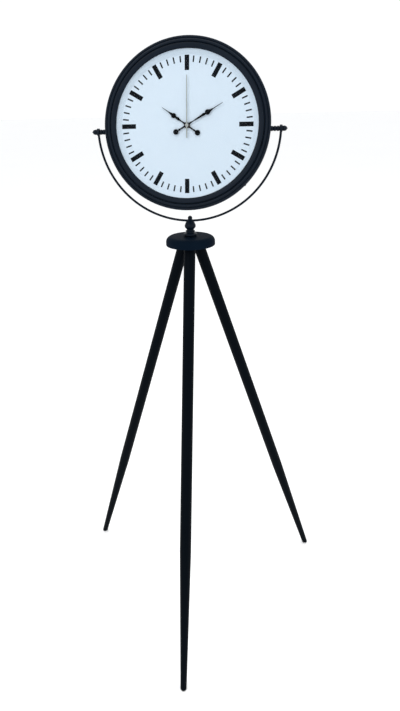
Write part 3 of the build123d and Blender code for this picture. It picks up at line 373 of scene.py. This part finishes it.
# Finial. A turned knop: ball, flared neck, bulb, collar and a round foot. The yoke's rod passes
# through its neck.
FOOT_LEVEL = 0.6 * MM
BOLT_RADIUS = 3.0 * MM
BALL_RADIUS = 5.8 * MM
BALL_LEVEL = 46.6 * MM
BULB_START = 18.0 * MM
BALL_START = 44.5 * MM
finial = wire((BOLT_RADIUS, FOOT_LEVEL), (14.3 * MM, FOOT_LEVEL), (13.5 * MM, 4.4 * MM, -160),
              (12.0 * MM, 8.6 * MM), (11.0 * MM, 9.8 * MM), (10.8 * MM, 11.6 * MM),
              (10.8 * MM, 13.1 * MM, -180), (9.3 * MM, 15.4 * MM), (9.1 * MM, 16.8 * MM),
              (9.4 * MM, 18.2 * MM))
finial_curve = ((11.4, 19.8), (13.6, 22.4), (14.5, 25.2), (14.3, 28.2), (13.3, 31.0), (11.9, 34.0),
                (10.6, 36.3), (9.3, 38.6), (8.0, 40.6), (6.7, 42.4), (5.6, 44.0))
last = [vertex for vertex in finial.verts
        if len(vertex.link_edges) == 1 and vertex.co.z > BULB_START][0]
for x, z in finial_curve:
    grown = bmesh.ops.extrude_vert_indiv(finial, verts=[last])
    last = grown["verts"][0]
    last.co = (x * MM, 0.0, z * MM)
ball_start = math.asin((BALL_LEVEL - BALL_START) / BALL_RADIUS)
grown = bmesh.ops.extrude_vert_indiv(finial, verts=[last])
last = grown["verts"][0]
last.co = (BALL_RADIUS * math.cos(ball_start), 0.0, BALL_LEVEL - BALL_RADIUS * math.sin(ball_start))
bmesh.ops.spin(finial, geom=[last], cent=(0, 0, BALL_LEVEL), axis=(0, 1, 0),
               angle=-(math.pi / 2 + ball_start), steps=14)
on_head = Matrix.Translation((0, STAND_AXIS.y, HEAD_HIGH.z))
piece("finial_turned", turn(finial, 64), "yoke_assembly", "black_paint", paint, "finial", place=on_head)

# Yoke. Half a ring of round steel rod, each end forged to a flat round eye for the pivot stud. It
# passes through the finial's neck and is painted satin black.
PIVOT = Vector(joints["case_tilt"]["pos_m"])
YOKE_RADIUS = 224.15 * MM
YOKE_RISE = 3.0 * MM
ROD_RADIUS = 2.9 * MM
EYE_RADIUS = 8.75 * MM
EYE_THICKNESS = 6.5 * MM
EYE_EDGE = 1.1 * MM
PIVOT_BORE = 2.55 * MM
yoke = bmesh.new()
bmesh.ops.create_circle(yoke, segments=20, radius=ROD_RADIUS)
bmesh.ops.translate(yoke, verts=yoke.verts[:], vec=(YOKE_RADIUS, 0, 0))
bmesh.ops.spin(yoke, geom=yoke.edges[:] + yoke.verts[:], cent=(0, 0, 0), axis=(0, 1, 0),
               angle=math.pi, steps=128)
bmesh.ops.holes_fill(yoke, edges=[edge for edge in yoke.edges if edge.is_boundary])
bmesh.ops.recalc_face_normals(yoke, faces=yoke.faces[:])
bmesh.ops.translate(yoke, verts=yoke.verts[:], vec=(PIVOT.x, PIVOT.y, PIVOT.z + YOKE_RISE))
for side in (1, -1):
    eye = turn(wire((PIVOT_BORE, -EYE_THICKNESS / 2), (EYE_RADIUS - EYE_EDGE, -EYE_THICKNESS / 2),
                    (EYE_RADIUS - EYE_EDGE, -EYE_THICKNESS / 2 + EYE_EDGE, -90),
                    (EYE_RADIUS, EYE_THICKNESS / 2 - EYE_EDGE),
                    (EYE_RADIUS - EYE_EDGE, EYE_THICKNESS / 2 - EYE_EDGE, -90),
                    (PIVOT_BORE, EYE_THICKNESS / 2), (PIVOT_BORE, -EYE_THICKNESS / 2)), 48)
    bmesh.ops.transform(eye, matrix=Matrix.Translation((side * YOKE_RADIUS, PIVOT.y, PIVOT.z))
                        @ Matrix.Rotation(math.radians(90), 4, "Y"), verts=eye.verts[:])
    absorb(yoke, eye)
piece("yoke_bent", yoke, "yoke_assembly", "black_paint", paint, "yoke")

# Pivot hardware on each side of the case: three turned beads, then an acorn nut outside the eye. All
# are turned, painted satin black and strung on the stud that the case tilts on.
PAN_RADIUS = 198.0 * MM
BEADS = 3
BEAD_RADIUS = 6.1 * MM
BEAD_NECK = 4.3 * MM
FRICTION_WASHER = 0.4 * MM
ACORN_RADIUS = 6.5 * MM
ACORN_FOOT = 5.3 * MM
ACORN_DOME = 5.9 * MM
ACORN_BODY = 5.0 * MM
ACORN_TIP = 1.2 * MM
STUD_RADIUS = 2.5 * MM
eye_inside = YOKE_RADIUS - EYE_THICKNESS / 2 - FRICTION_WASHER
bead_length = (eye_inside - PAN_RADIUS) / BEADS


def both_ends(name, make_shape, slot, finish, cad_name):
    """The same turned hardware at both ends of the pivot axis, as one piece of the case."""
    pair = bmesh.new()
    for side in (1, -1):
        shape = make_shape()
        bmesh.ops.transform(shape, matrix=Matrix.Translation(PIVOT)
                            @ Matrix.Rotation(math.radians(90 * side), 4, "Y"), verts=shape.verts[:])
        absorb(pair, shape)
    return piece(name, pair, "case", slot, finish, cad_name)


def bead_spindle():
    """Three rounded beads in a row, with a narrow neck between each."""
    moves = []
    half = bead_length / 2
    bead_curve = ((0.0, 0.0), (0.60, 0.17), (0.86, 0.36), (1.0, 0.68), (1.0, 1.32), (0.86, 1.64),
                  (0.60, 1.83))
    for count in range(BEADS):
        for out, along in bead_curve:
            radius = BEAD_NECK + out * (BEAD_RADIUS - BEAD_NECK)
            moves.append((radius, PAN_RADIUS + (count * 2 + along) * half))
    moves.append((BEAD_NECK, eye_inside))
    moves.append((STUD_RADIUS, eye_inside))
    return turn(wire((STUD_RADIUS, PAN_RADIUS), *moves, (STUD_RADIUS, PAN_RADIUS)), 48)


def acorn_nut():
    """Round nut with a grooved foot, a domed body and a small tip."""
    base = YOKE_RADIUS + EYE_THICKNESS / 2 + FRICTION_WASHER
    dome = base + ACORN_BODY
    swing = math.degrees(math.acos(ACORN_TIP / ACORN_DOME))
    tip_base = dome + math.sqrt(ACORN_DOME**2 - ACORN_TIP**2)
    return turn(wire((STUD_RADIUS, base), (ACORN_FOOT, base), (ACORN_FOOT + 0.75 * MM, base + 0.35 * MM),
                     (ACORN_FOOT + 0.95 * MM, base + 0.8 * MM), (ACORN_FOOT + 0.75 * MM, base + 1.25 * MM),
                     (ACORN_FOOT, base + 1.6 * MM), (ACORN_RADIUS - 0.25 * MM, base + 2.2 * MM),
                     (ACORN_RADIUS, base + 3.3 * MM), (ACORN_RADIUS - 0.15 * MM, base + 4.3 * MM),
                     (ACORN_DOME, dome), (0.0, dome, -swing), (ACORN_TIP, tip_base),
                     (0.0, tip_base, -90)), 48)


both_ends("pivot_beads_turned", bead_spindle, "black_paint", paint, "pivot_beads")
both_ends("acorn_nuts_turned", acorn_nut, "black_paint", paint, "acorn_nuts")

# Case pan. Pressed from one sheet of steel: a round wall with a rolled front, a rounded corner and a
# flat back with a round opening, swaged by two shallow rings, that leaves the movement in reach.
DIAL_CENTRE = Vector(joints["minute_turn"]["pos_m"])
dial_out = -Vector(joints["minute_turn"]["axis"]).normalized()
dial_across = Vector((1.0, 0.0, 0.0))
dial_up = dial_out.cross(dial_across)
on_dial = Matrix.Translation(DIAL_CENTRE) @ Matrix((dial_across, dial_up, dial_out)).transposed().to_4x4()
SHEET = 1.2 * MM
PAN_BACK = -38.0 * MM
PAN_FRONT = 2.0 * MM
PAN_CORNER = 8.0 * MM
OPENING_RADIUS = 60.0 * MM
SWAGE = 0.5 * MM
pan = wire((OPENING_RADIUS, PAN_BACK + SHEET), (OPENING_RADIUS, PAN_BACK),
           (OPENING_RADIUS + 6 * MM, PAN_BACK),
           (OPENING_RADIUS + 8 * MM, PAN_BACK + SWAGE), (OPENING_RADIUS + 12 * MM, PAN_BACK + SWAGE),
           (OPENING_RADIUS + 14 * MM, PAN_BACK), (170 * MM, PAN_BACK), (172 * MM, PAN_BACK + SWAGE),
           (177 * MM, PAN_BACK + SWAGE), (179 * MM, PAN_BACK), (PAN_RADIUS - PAN_CORNER, PAN_BACK),
           (PAN_RADIUS - PAN_CORNER, PAN_BACK + PAN_CORNER, -90), (PAN_RADIUS, PAN_FRONT),
           (PAN_RADIUS - SHEET, PAN_FRONT), (PAN_RADIUS - SHEET, PAN_BACK + PAN_CORNER),
           (PAN_RADIUS - PAN_CORNER, PAN_BACK + PAN_CORNER, 90), (OPENING_RADIUS, PAN_BACK + SHEET))
piece("case_pan_pressed", turn(pan, 128), "case", "black_paint", paint, "case_pan", place=on_dial)

# Bezel. A spun and painted ring. From outside in: rolled edge, groove, half-round bead, groove, and
# a wide band sloping down to the glass, with the skirt that fits over the pan.
LIP_BACK = 11.5 * MM
bezel_line = ((198.1, -8.0), (199.6, -8.0), (200.0, -7.6), (200.0, 7.4), (199.7, 9.0), (198.9, 10.3),
              (197.7, 11.2), (196.2, 11.5), (195.2, 11.3), (194.4, 10.7), (193.8, 10.0), (193.2, 9.9),
              (192.9, 10.3),
              (192.4, 11.9), (191.5, 13.2), (190.4, 14.0), (189.1, 14.3), (187.8, 14.0), (186.7, 13.2),
              (185.8, 11.9), (185.3, 10.3), (184.9, 9.9), (184.0, 9.9), (183.6, 10.3), (183.1, 12.6),
              (182.6, 13.7), (181.8, 14.1), (180.8, 14.1), (173.0, 13.0), (171.6, 12.7), (170.9, 12.2),
              (170.6, 11.5), (178.0, 11.5), (178.0, 8.4), (195.6, 8.4), (197.2, 7.8), (198.1, 6.0),
              (198.1, -8.0))
bezel = wire(tuple(value * MM for value in bezel_line[0]),
             *[(x * MM, z * MM) for x, z in bezel_line[1:]])
piece("bezel_spun", turn(bezel, 160), "case", "black_paint", paint, "bezel", place=on_dial)

# Glass. A flat disc of clear float glass with a small ground edge, held between the bezel's lip and
# a rubber ring.
GLASS_RADIUS = 177.8 * MM
GLASS_BACK = 9.0 * MM
GROUND = 0.4 * MM
glass_finish, shader, blank = material("clear_float_glass", (0.03, 0.04, 0.045), 0.03, Alpha=0.08, IOR=1.5)
rim_glow = blank.make("ShaderNodeFresnel", None, {"IOR": 1.5})
smears = blank.position().noise(24.0, 4.0, 0.6)
feed(shader, Alpha=rim_glow * 0.45 + 0.003, Roughness=smears.clamp(0.4, 0.7, 0.02, 0.07))
glass = turn(wire((0.0, GLASS_BACK), (GLASS_RADIUS - GROUND, GLASS_BACK),
                  (GLASS_RADIUS, GLASS_BACK + GROUND), (GLASS_RADIUS, LIP_BACK - GROUND),
                  (GLASS_RADIUS - GROUND, LIP_BACK), (0.0, LIP_BACK)), 128)
piece("glass_ground", glass, "case", "glass", glass_finish, "glass", place=on_dial)

# Dial. A dished sheet in bluish white enamel, its rim sloping forward to the glass. Four posts behind
# it hold it off the pan.
DIAL_FLAT = 159.5 * MM
DIAL_RIM = 171.0 * MM
DIAL_FLANGE = 177.0 * MM
DIAL_SHEET = 1.0 * MM
BUSH_HOLE = 4.1 * MM
flange_front = GLASS_BACK - 1.0 * MM
enamel, shader, blank = material("pale_blue_enamel", (0.70, 0.83, 0.95), 0.42, Coat_Weight=0.12,
                                 Coat_Roughness=0.3)
mottle = blank.position((1, 1, 1), on_dial).noise(36.0, 4.0, 0.55)
fine = blank.position().noise(900.0, 2.0)
feed(shader, Base_Color=mottle.blend((0.685, 0.820, 0.945), (0.725, 0.850, 0.965)),
     Roughness=mottle.clamp(0.3, 0.7, 0.38, 0.48))
relief(shader, fine, 0.00002, 0.5)
dial = wire((BUSH_HOLE, -DIAL_SHEET), (DIAL_FLAT + 0.5 * MM, -DIAL_SHEET),
            (DIAL_RIM + 0.5 * MM, flange_front - DIAL_SHEET), (DIAL_FLANGE, flange_front - DIAL_SHEET),
            (DIAL_FLANGE, flange_front), (DIAL_RIM, flange_front), (DIAL_FLAT, 0.0), (BUSH_HOLE, 0.0),
            (BUSH_HOLE, -DIAL_SHEET))
piece("dial_enamelled", turn(dial, 128), "case", "dial_white", enamel, "dial_plate", place=on_dial)

# Dial marks. Twelve broad hour bars and forty-eight narrow minute bars, screen printed in thick matt
# black ink.
MINUTE_RING = 151.0 * MM
HOUR_BAR_REACH = (0.826, 1.051)
HOUR_BAR_WIDTH = 10.7 * MM
TICK_REACH = (0.946, 1.041)
TICK_WIDTH = 3.3 * MM
INK = 0.3 * MM
INK_EDGE = 0.12 * MM
ink, shader, blank = material("matt_black_ink", (0.004, 0.006, 0.009), 0.60, Specular_IOR_Level=0.05)
tooth = blank.position().noise(1500.0, 2.0)
feed(shader, Base_Color=tooth.blend((0.003, 0.0045, 0.007), (0.006, 0.008, 0.012)),
     Roughness=tooth.clamp(0.3, 0.7, 0.48, 0.64))
relief(shader, tooth, 0.00002, 0.5)


def printed_bar(shape, direction, reach, width):
    """One raised bar on the dial, its ends given as shares of the minute ring's radius."""
    inner, outer = [share * MINUTE_RING for share in reach]
    length = outer - inner
    grown = bmesh.ops.create_cube(shape, size=1.0)
    corners = grown["verts"]
    bmesh.ops.scale(shape, vec=(width, length, INK), verts=corners)
    bmesh.ops.translate(shape, vec=(0, inner + length / 2, INK / 2), verts=corners)
    bmesh.ops.rotate(shape, cent=(0, 0, 0), matrix=Matrix.Rotation(direction, 3, "Z"), verts=corners)
    top = {edge for vertex in corners for edge in vertex.link_edges
           if min(end.co.z for end in edge.verts) > INK / 2}
    bmesh.ops.bevel(shape, geom=list(top), offset=INK_EDGE, offset_type="OFFSET", affect="EDGES",
                    segments=2, profile=0.5, material=-1)


hour_bars = bmesh.new()
for hour in range(12):
    printed_bar(hour_bars, math.radians(30 * hour), HOUR_BAR_REACH, HOUR_BAR_WIDTH)
piece("hour_bars_printed", hour_bars, "case", "mark_black", ink, "hour_bars", place=on_dial)
minute_ticks = bmesh.new()
for minute in range(60):
    if minute % 5:
        printed_bar(minute_ticks, math.radians(6 * minute), TICK_REACH, TICK_WIDTH)
piece("minute_ticks_printed", minute_ticks, "case", "mark_black", ink, "minute_ticks", place=on_dial)

# Hands. Each is stamped from thin sheet in one piece and painted satin black: from the tip a needle, a
# teardrop running into a round boss, an oval, a hub, a small collar and a round counterweight.
HAND_THICKNESS = 0.8 * MM
HUB_RADIUS = 6.8 * MM
HAND_EDGE = 0.12 * MM
hand_paint, shader, blank = material("satin_black_hand_paint", (0.002, 0.003, 0.004), 0.50,
                                     Specular_IOR_Level=0.06)
stipple = blank.position().noise(1800.0, 2.0)
clouds = blank.position().noise(90.0, 3.0)
feed(shader, Base_Color=clouds.blend((0.0015, 0.002, 0.003), (0.003, 0.004, 0.006)),
     Roughness=clouds.clamp(0.3, 0.7, 0.42, 0.56))
relief(shader, stipple, 0.00003, 0.5)


def sheet_disc(shape, centre, across, along, low, thickness, bore=0.0):
    """A flat round or oval of sheet with softened edges, standing on the given level."""
    flat = wire((bore, low), (1.0 - HAND_EDGE / across, low), (1.0, low + HAND_EDGE),
                (1.0, low + thickness - HAND_EDGE), (1.0 - HAND_EDGE / across, low + thickness),
                (bore, low + thickness), *([(bore, low)] if bore else []))
    turn(flat, 48)
    bmesh.ops.transform(flat, matrix=Matrix.Translation((0, centre, 0))
                        @ Matrix.Diagonal((across, along, 1, 1)), verts=flat.verts[:])
    absorb(shape, flat)


def sheet_bar(shape, low, thickness, *stations):
    """A flat tapering bar along Y through stations of (half width, distance)."""
    bar = bmesh.new()
    for (near, start), (far, end) in zip(stations, stations[1:]):
        grown = bmesh.ops.create_cube(bar, size=1.0)
        for corner in grown["verts"]:
            at_far = corner.co.y > 0
            half = far if at_far else near
            corner.co = (math.copysign(half, corner.co.x), end if at_far else start,
                         low + thickness * (corner.co.z > 0))
    bmesh.ops.remove_doubles(bar, verts=bar.verts[:], dist=1e-7)
    inner = [face for face in bar.faces if all(len(edge.link_faces) > 2 for edge in face.edges)]
    bmesh.ops.delete(bar, geom=inner, context="FACES")
    bmesh.ops.recalc_face_normals(bar, faces=bar.faces[:])
    top = [edge for edge in bar.edges if min(end.co.z for end in edge.verts) > low + thickness / 2
           and edge.calc_face_angle(0.0) > 1.0]
    bmesh.ops.bevel(bar, geom=top, offset=HAND_EDGE, offset_type="OFFSET", affect="EDGES", segments=2,
                    profile=0.5, material=-1)
    absorb(shape, bar)


def hand(length, boss_at, boss_radius, oval_at, tail_at, back, bore):
    """One hand lying along Y, its hub bored for its tube. Sizes are in millimetres."""
    shape = bmesh.new()
    low = back * MM
    sheet_bar(shape, low, HAND_THICKNESS, (0.5 * MM, length * MM),
              (1.0 * MM, (boss_at + 2.6 * boss_radius) * MM),
              (3.6 * MM, (boss_at + 0.6 * boss_radius) * MM),
              (1.6 * MM, (boss_at - boss_radius) * MM), (2.6 * MM, (oval_at + 2.5) * MM),
              (2.6 * MM, (oval_at - 2.5) * MM), (1.0 * MM, HUB_RADIUS + 9.0 * MM),
              (2.6 * MM, HUB_RADIUS * 0.9))
    sheet_bar(shape, low, HAND_THICKNESS, (1.9 * MM, -HUB_RADIUS * 0.9), (1.3 * MM, tail_at * MM))
    sheet_disc(shape, boss_at * MM, boss_radius * MM, boss_radius * MM, low, HAND_THICKNESS)
    sheet_disc(shape, oval_at * MM, 3.3 * MM, 5.4 * MM, low, HAND_THICKNESS)
    sheet_disc(shape, 0.68 * tail_at * MM, 2.6 * MM, 1.8 * MM, low, HAND_THICKNESS)
    sheet_disc(shape, tail_at * MM, 6.4 * MM, 6.4 * MM, low, HAND_THICKNESS)
    sheet_disc(shape, 0.0, HUB_RADIUS, HUB_RADIUS, low, HAND_THICKNESS, bore * MM / HUB_RADIUS)
    return shape


HAND_ANGLES = {"hour": 305.0, "minute": 60.0}


def clockwise(angle):
    return on_dial @ Matrix.Rotation(-math.radians(angle), 4, "Z")


hour_hand = hand(length=72.6, boss_at=39.0, boss_radius=5.9, oval_at=26.9, tail_at=-31.1, back=3.4,
                 bore=2.55)
minute_hand = hand(length=98.3, boss_at=57.2, boss_radius=6.2, oval_at=45.8, tail_at=-30.5, back=5.2,
                   bore=1.75)
piece("hour_hand_stamped", hour_hand, "hour_works", "hand_black", hand_paint, "hour_hand",
      place=clockwise(HAND_ANGLES["hour"]))
piece("minute_hand_stamped", minute_hand, "minute_works", "hand_black", hand_paint, "minute_hand",
      place=clockwise(HAND_ANGLES["minute"]))


def dress(finish, *names):
    """Gives a finish to parts that are shown just as they were built."""
    for name in names:
        nodes[name].data.materials.clear()
        nodes[name].data.materials.append(finish)


# Second hand. A thin straight hand, cut from pale grey sheet and brushed along its length, pressed on
# the second arbor through a small boss.
brushed_grey, shader, blank = material("brushed_grey_sheet", (0.34, 0.38, 0.37), 0.44, 0.2)
strokes = blank.position((900.0, 900.0, 14.0)).noise(1.0, 3.0, 0.6)
feed(shader, Base_Color=strokes.blend((0.30, 0.335, 0.325), (0.40, 0.44, 0.43)),
     Roughness=strokes.clamp(0.3, 0.7, 0.28, 0.46))
relief(shader, strokes, 0.00002, 0.4)
dress(brushed_grey, "second_hand")

# Brass and nickel. The washer and nut that hold the dial on the threaded bush and the two arbors are
# turned brass, with fine rings round the dial's axis. The hand nut and small metal are nickel plated.
brass, shader, blank = material("turned_brass", (0.62, 0.44, 0.18), 0.30, 1.0)
brass_at = blank.position((1, 1, 1), on_dial)
across_squared = brass_at.part("X") * brass_at.part("X")
up_squared = brass_at.part("Y") * brass_at.part("Y")
radius_out = (across_squared + up_squared).maths("SQRT", 0.0)
tool_rings = (radius_out * 26000.0).sine() * 0.5 + 0.5
tarnish = blank.position().noise(240.0, 3.0)
feed(shader, Base_Color=tarnish.blend((0.52, 0.36, 0.14), (0.70, 0.52, 0.24)),
     Roughness=tarnish.clamp(0.3, 0.7, 0.24, 0.40))
relief(shader, tool_rings, 0.00001, 0.4)
dress(brass, "bush_washer", "bush_nut", "cannon_pinion", "second_arbor")
nickel, shader, blank = material("bright_nickel_plate", (0.66, 0.67, 0.69), 0.24, 1.0)
nickel_haze = blank.position().noise(420.0, 3.0)
feed(shader, Base_Color=nickel_haze.blend((0.58, 0.59, 0.61), (0.74, 0.75, 0.77)),
     Roughness=nickel_haze.clamp(0.3, 0.7, 0.18, 0.34))
relief(shader, nickel_haze, 0.00001, 0.3)
dress(nickel, "hand_nut", "cell_contacts", "crystal")

# Zinc plated steel. The clamp bolt with its nut and washer, the leg studs, the pivot studs with their
# nuts and backing plates, and the screws behind the case: blue-white plate with a cloudy spangle.
zinc, shader, blank = material("zinc_plated_steel", (0.56, 0.57, 0.59), 0.34, 1.0)
spangle = blank.position().make("ShaderNodeTexVoronoi", {"feature": "F1"}, {"Scale": 700.0})
clouding = blank.position().noise(160.0, 4.0, 0.6)
feed(shader, Base_Color=clouding.blend((0.46, 0.48, 0.52), (0.66, 0.66, 0.64)),
     Roughness=clouding.clamp(0.3, 0.7, 0.26, 0.46))
relief(shader, spangle, 0.00003, 0.35)
dress(zinc, "clamp_bolt", "clamp_nut", "clamp_washer", "leg_studs", "pivot_studs", "pivot_nuts",
      "pivot_plates", "post_screws")
dress(paint, "bezel_screws")

# Fibre washers. Hard black fibre under the finial and on both sides of each yoke eye, where the
# clock turns; pressed sheet with short flecks in it.
fibre, shader, blank = material("black_fibre", (0.010, 0.010, 0.012), 0.62, Specular_IOR_Level=0.1)
flecks = blank.position().noise(3200.0, 4.0, 0.7)
feed(shader, Base_Color=flecks.blend((0.005, 0.005, 0.006), (0.018, 0.018, 0.020)),
     Roughness=flecks.clamp(0.3, 0.7, 0.52, 0.74))
relief(shader, flecks, 0.00006, 0.6)
dress(fibre, "swivel_washer", "friction_washers")

# Dial posts and gaskets. Four turned aluminium spacers between the pan and the dial, and soft black
# rubber rings under the glass and behind the dial.
alloy, shader, blank = material("turned_aluminium", (0.70, 0.71, 0.73), 0.32, 1.0)
post_along = blank.position((1, 1, 1), on_dial).part("Z")
turning_marks = (post_along * 15000.0).sine() * 0.5 + 0.5
dulling = blank.position().noise(130.0, 3.0)
feed(shader, Base_Color=dulling.blend((0.62, 0.63, 0.65), (0.78, 0.79, 0.80)),
     Roughness=dulling.clamp(0.3, 0.7, 0.26, 0.42))
relief(shader, turning_marks, 0.00002, 0.4)
dress(alloy, "dial_posts")
dress(rubber, "glass_gasket", "movement_gasket")

# Movement box. A tray with the threaded bush and the cell's bay, moulded in finely sparked black
# plastic, and a smooth grey back plate that snaps into it. The setting knob is fluted for fingers.
spark_black, shader, blank = material("sparked_black_plastic", (0.016, 0.016, 0.018), 0.55)
spark = blank.position().noise(4200.0, 3.0, 0.6)
worn = blank.position().noise(70.0, 3.0)
feed(shader, Base_Color=worn.blend((0.012, 0.012, 0.014), (0.024, 0.024, 0.026)),
     Roughness=spark.clamp(0.3, 0.7, 0.46, 0.66))
relief(shader, spark, 0.00010, 0.6)
dress(spark_black, "movement_tray", "setting_knob", "coil_bobbin")
grey_moulding, shader, blank = material("grey_moulding", (0.15, 0.155, 0.165), 0.42)
flow = blank.position((1.0, 1.0, 0.3)).noise(150.0, 3.0)
grain_fine = blank.position().noise(3600.0, 2.0)
feed(shader, Base_Color=flow.blend((0.125, 0.130, 0.140), (0.180, 0.185, 0.195)),
     Roughness=flow.clamp(0.3, 0.7, 0.36, 0.50))
relief(shader, grain_fine, 0.00004, 0.4)
dress(grey_moulding, "movement_back", "rotor_bridge")

# Wheels. Five moulded wheels in natural acetal, milky white and slightly waxy: three of the stepping
# train and two of the motion work behind the hands.
acetal, shader, blank = material("natural_acetal", (0.74, 0.73, 0.67), 0.40)
milk = blank.position().noise(300.0, 3.0)
feed(shader, Base_Color=milk.blend((0.69, 0.68, 0.61), (0.80, 0.79, 0.74)),
     Roughness=milk.clamp(0.3, 0.7, 0.34, 0.48))
relief(shader, milk, 0.00002, 0.3)
dress(acetal, "hour_wheel", "minute_wheel", "centre_wheel", "third_wheel", "step_wheel")

# Stepping motor. Soft iron stator and core, a sintered magnet on a steel pinion, the clutch's spring
# washer, and a coil of fine enamelled copper wire on its bobbin.
iron, shader, blank = material("annealed_iron", (0.40, 0.40, 0.41), 0.40, 1.0)
scale_marks = blank.position((1.0, 1.0, 0.2)).noise(900.0, 4.0, 0.6)
feed(shader, Base_Color=scale_marks.blend((0.32, 0.32, 0.34), (0.50, 0.50, 0.50)),
     Roughness=scale_marks.clamp(0.3, 0.7, 0.32, 0.52))
relief(shader, scale_marks, 0.00002, 0.4)
dress(iron, "stator", "coil_core", "rotor_pinion", "clutch_spring")
sintered, shader, blank = material("sintered_magnet", (0.07, 0.07, 0.075), 0.58, 0.4)
pores = blank.position().noise(5200.0, 4.0, 0.7)
feed(shader, Base_Color=pores.blend((0.045, 0.045, 0.05), (0.10, 0.10, 0.105)),
     Roughness=pores.clamp(0.3, 0.7, 0.50, 0.70))
relief(shader, pores, 0.00005, 0.6)
dress(sintered, "rotor_magnet")
WIRE_PITCH = 0.16 * MM
copper, shader, blank = material("enamelled_copper", (0.55, 0.20, 0.07), 0.30, 0.8)
along_coil = blank.position((1, 1, 1), on_dial).part("Y")
turns_of_wire = (along_coil * (2 * math.pi / WIRE_PITCH)).sine() * 0.5 + 0.5
winding_tint = blank.position().noise(500.0, 3.0)
winding = turns_of_wire * 0.6 + winding_tint * 0.4
feed(shader, Base_Color=winding.blend((0.32, 0.10, 0.03), (0.68, 0.27, 0.10)),
     Roughness=winding_tint.clamp(0.3, 0.7, 0.24, 0.40))
relief(shader, turns_of_wire, 0.00006, 0.7)
dress(copper, "coil_winding")

# Circuit board and cell. A small green board with tinned tracks under its lacquer, and an AA-size
# cell in plain blue wrap with a copper coloured band and bare steel ends.
board, shader, blank = material("green_lacquered_board", (0.010, 0.13, 0.05), 0.34)
board_at = blank.position((1, 1, 1), on_dial)
tracks = (board_at.part("X") * 2400.0).sine() > 0.45
blotches = board_at.noise(330.0, 1.0) > 0.47
copper_under = tracks * blotches
feed(shader, Base_Color=copper_under.blend((0.008, 0.105, 0.040), (0.030, 0.26, 0.095)),
     Roughness=copper_under.clamp(0.0, 1.0, 0.38, 0.28))
relief(shader, copper_under, 0.00004, 0.5)
dress(board, "circuit_board")
CELL_LOW, CELL_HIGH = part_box("cell")
CELL_BAND = 0.68
CELL_NUB = 2.4 * MM
CELL_BASE = 0.7 * MM
cell_span = CELL_HIGH.x - CELL_LOW.x
wrap, shader, blank = material("blue_shrink_wrap", (0.02, 0.06, 0.24), 0.28, Coat_Weight=0.3,
                               Coat_Roughness=0.2)
from_end = blank.position().part("X") - CELL_LOW.x
at_nub = from_end > cell_span - CELL_NUB
on_band = (from_end > cell_span * CELL_BAND) * (1.0 - at_nub)
bare_end = at_nub + (1.0 - (from_end > CELL_BASE))
creases = blank.position((0.4, 1.0, 1.0)).noise(240.0, 3.0)
label = on_band.make("ShaderNodeMix", {"data_type": "RGBA"},
                     {"Factor": on_band, 6: creases.blend((0.014, 0.045, 0.19), (0.026, 0.075, 0.28)),
                      7: (0.55, 0.24, 0.09, 1.0)}, out=2)
feed(shader, Base_Color=label.make("ShaderNodeMix", {"data_type": "RGBA"},
                                   {"Factor": bare_end, 6: label, 7: (0.60, 0.60, 0.60, 1.0)}, out=2),
     Metallic=bare_end, Roughness=creases.clamp(0.3, 0.7, 0.22, 0.36))
relief(shader, creases, 0.00003, 0.4)
dress(wrap, "cell")
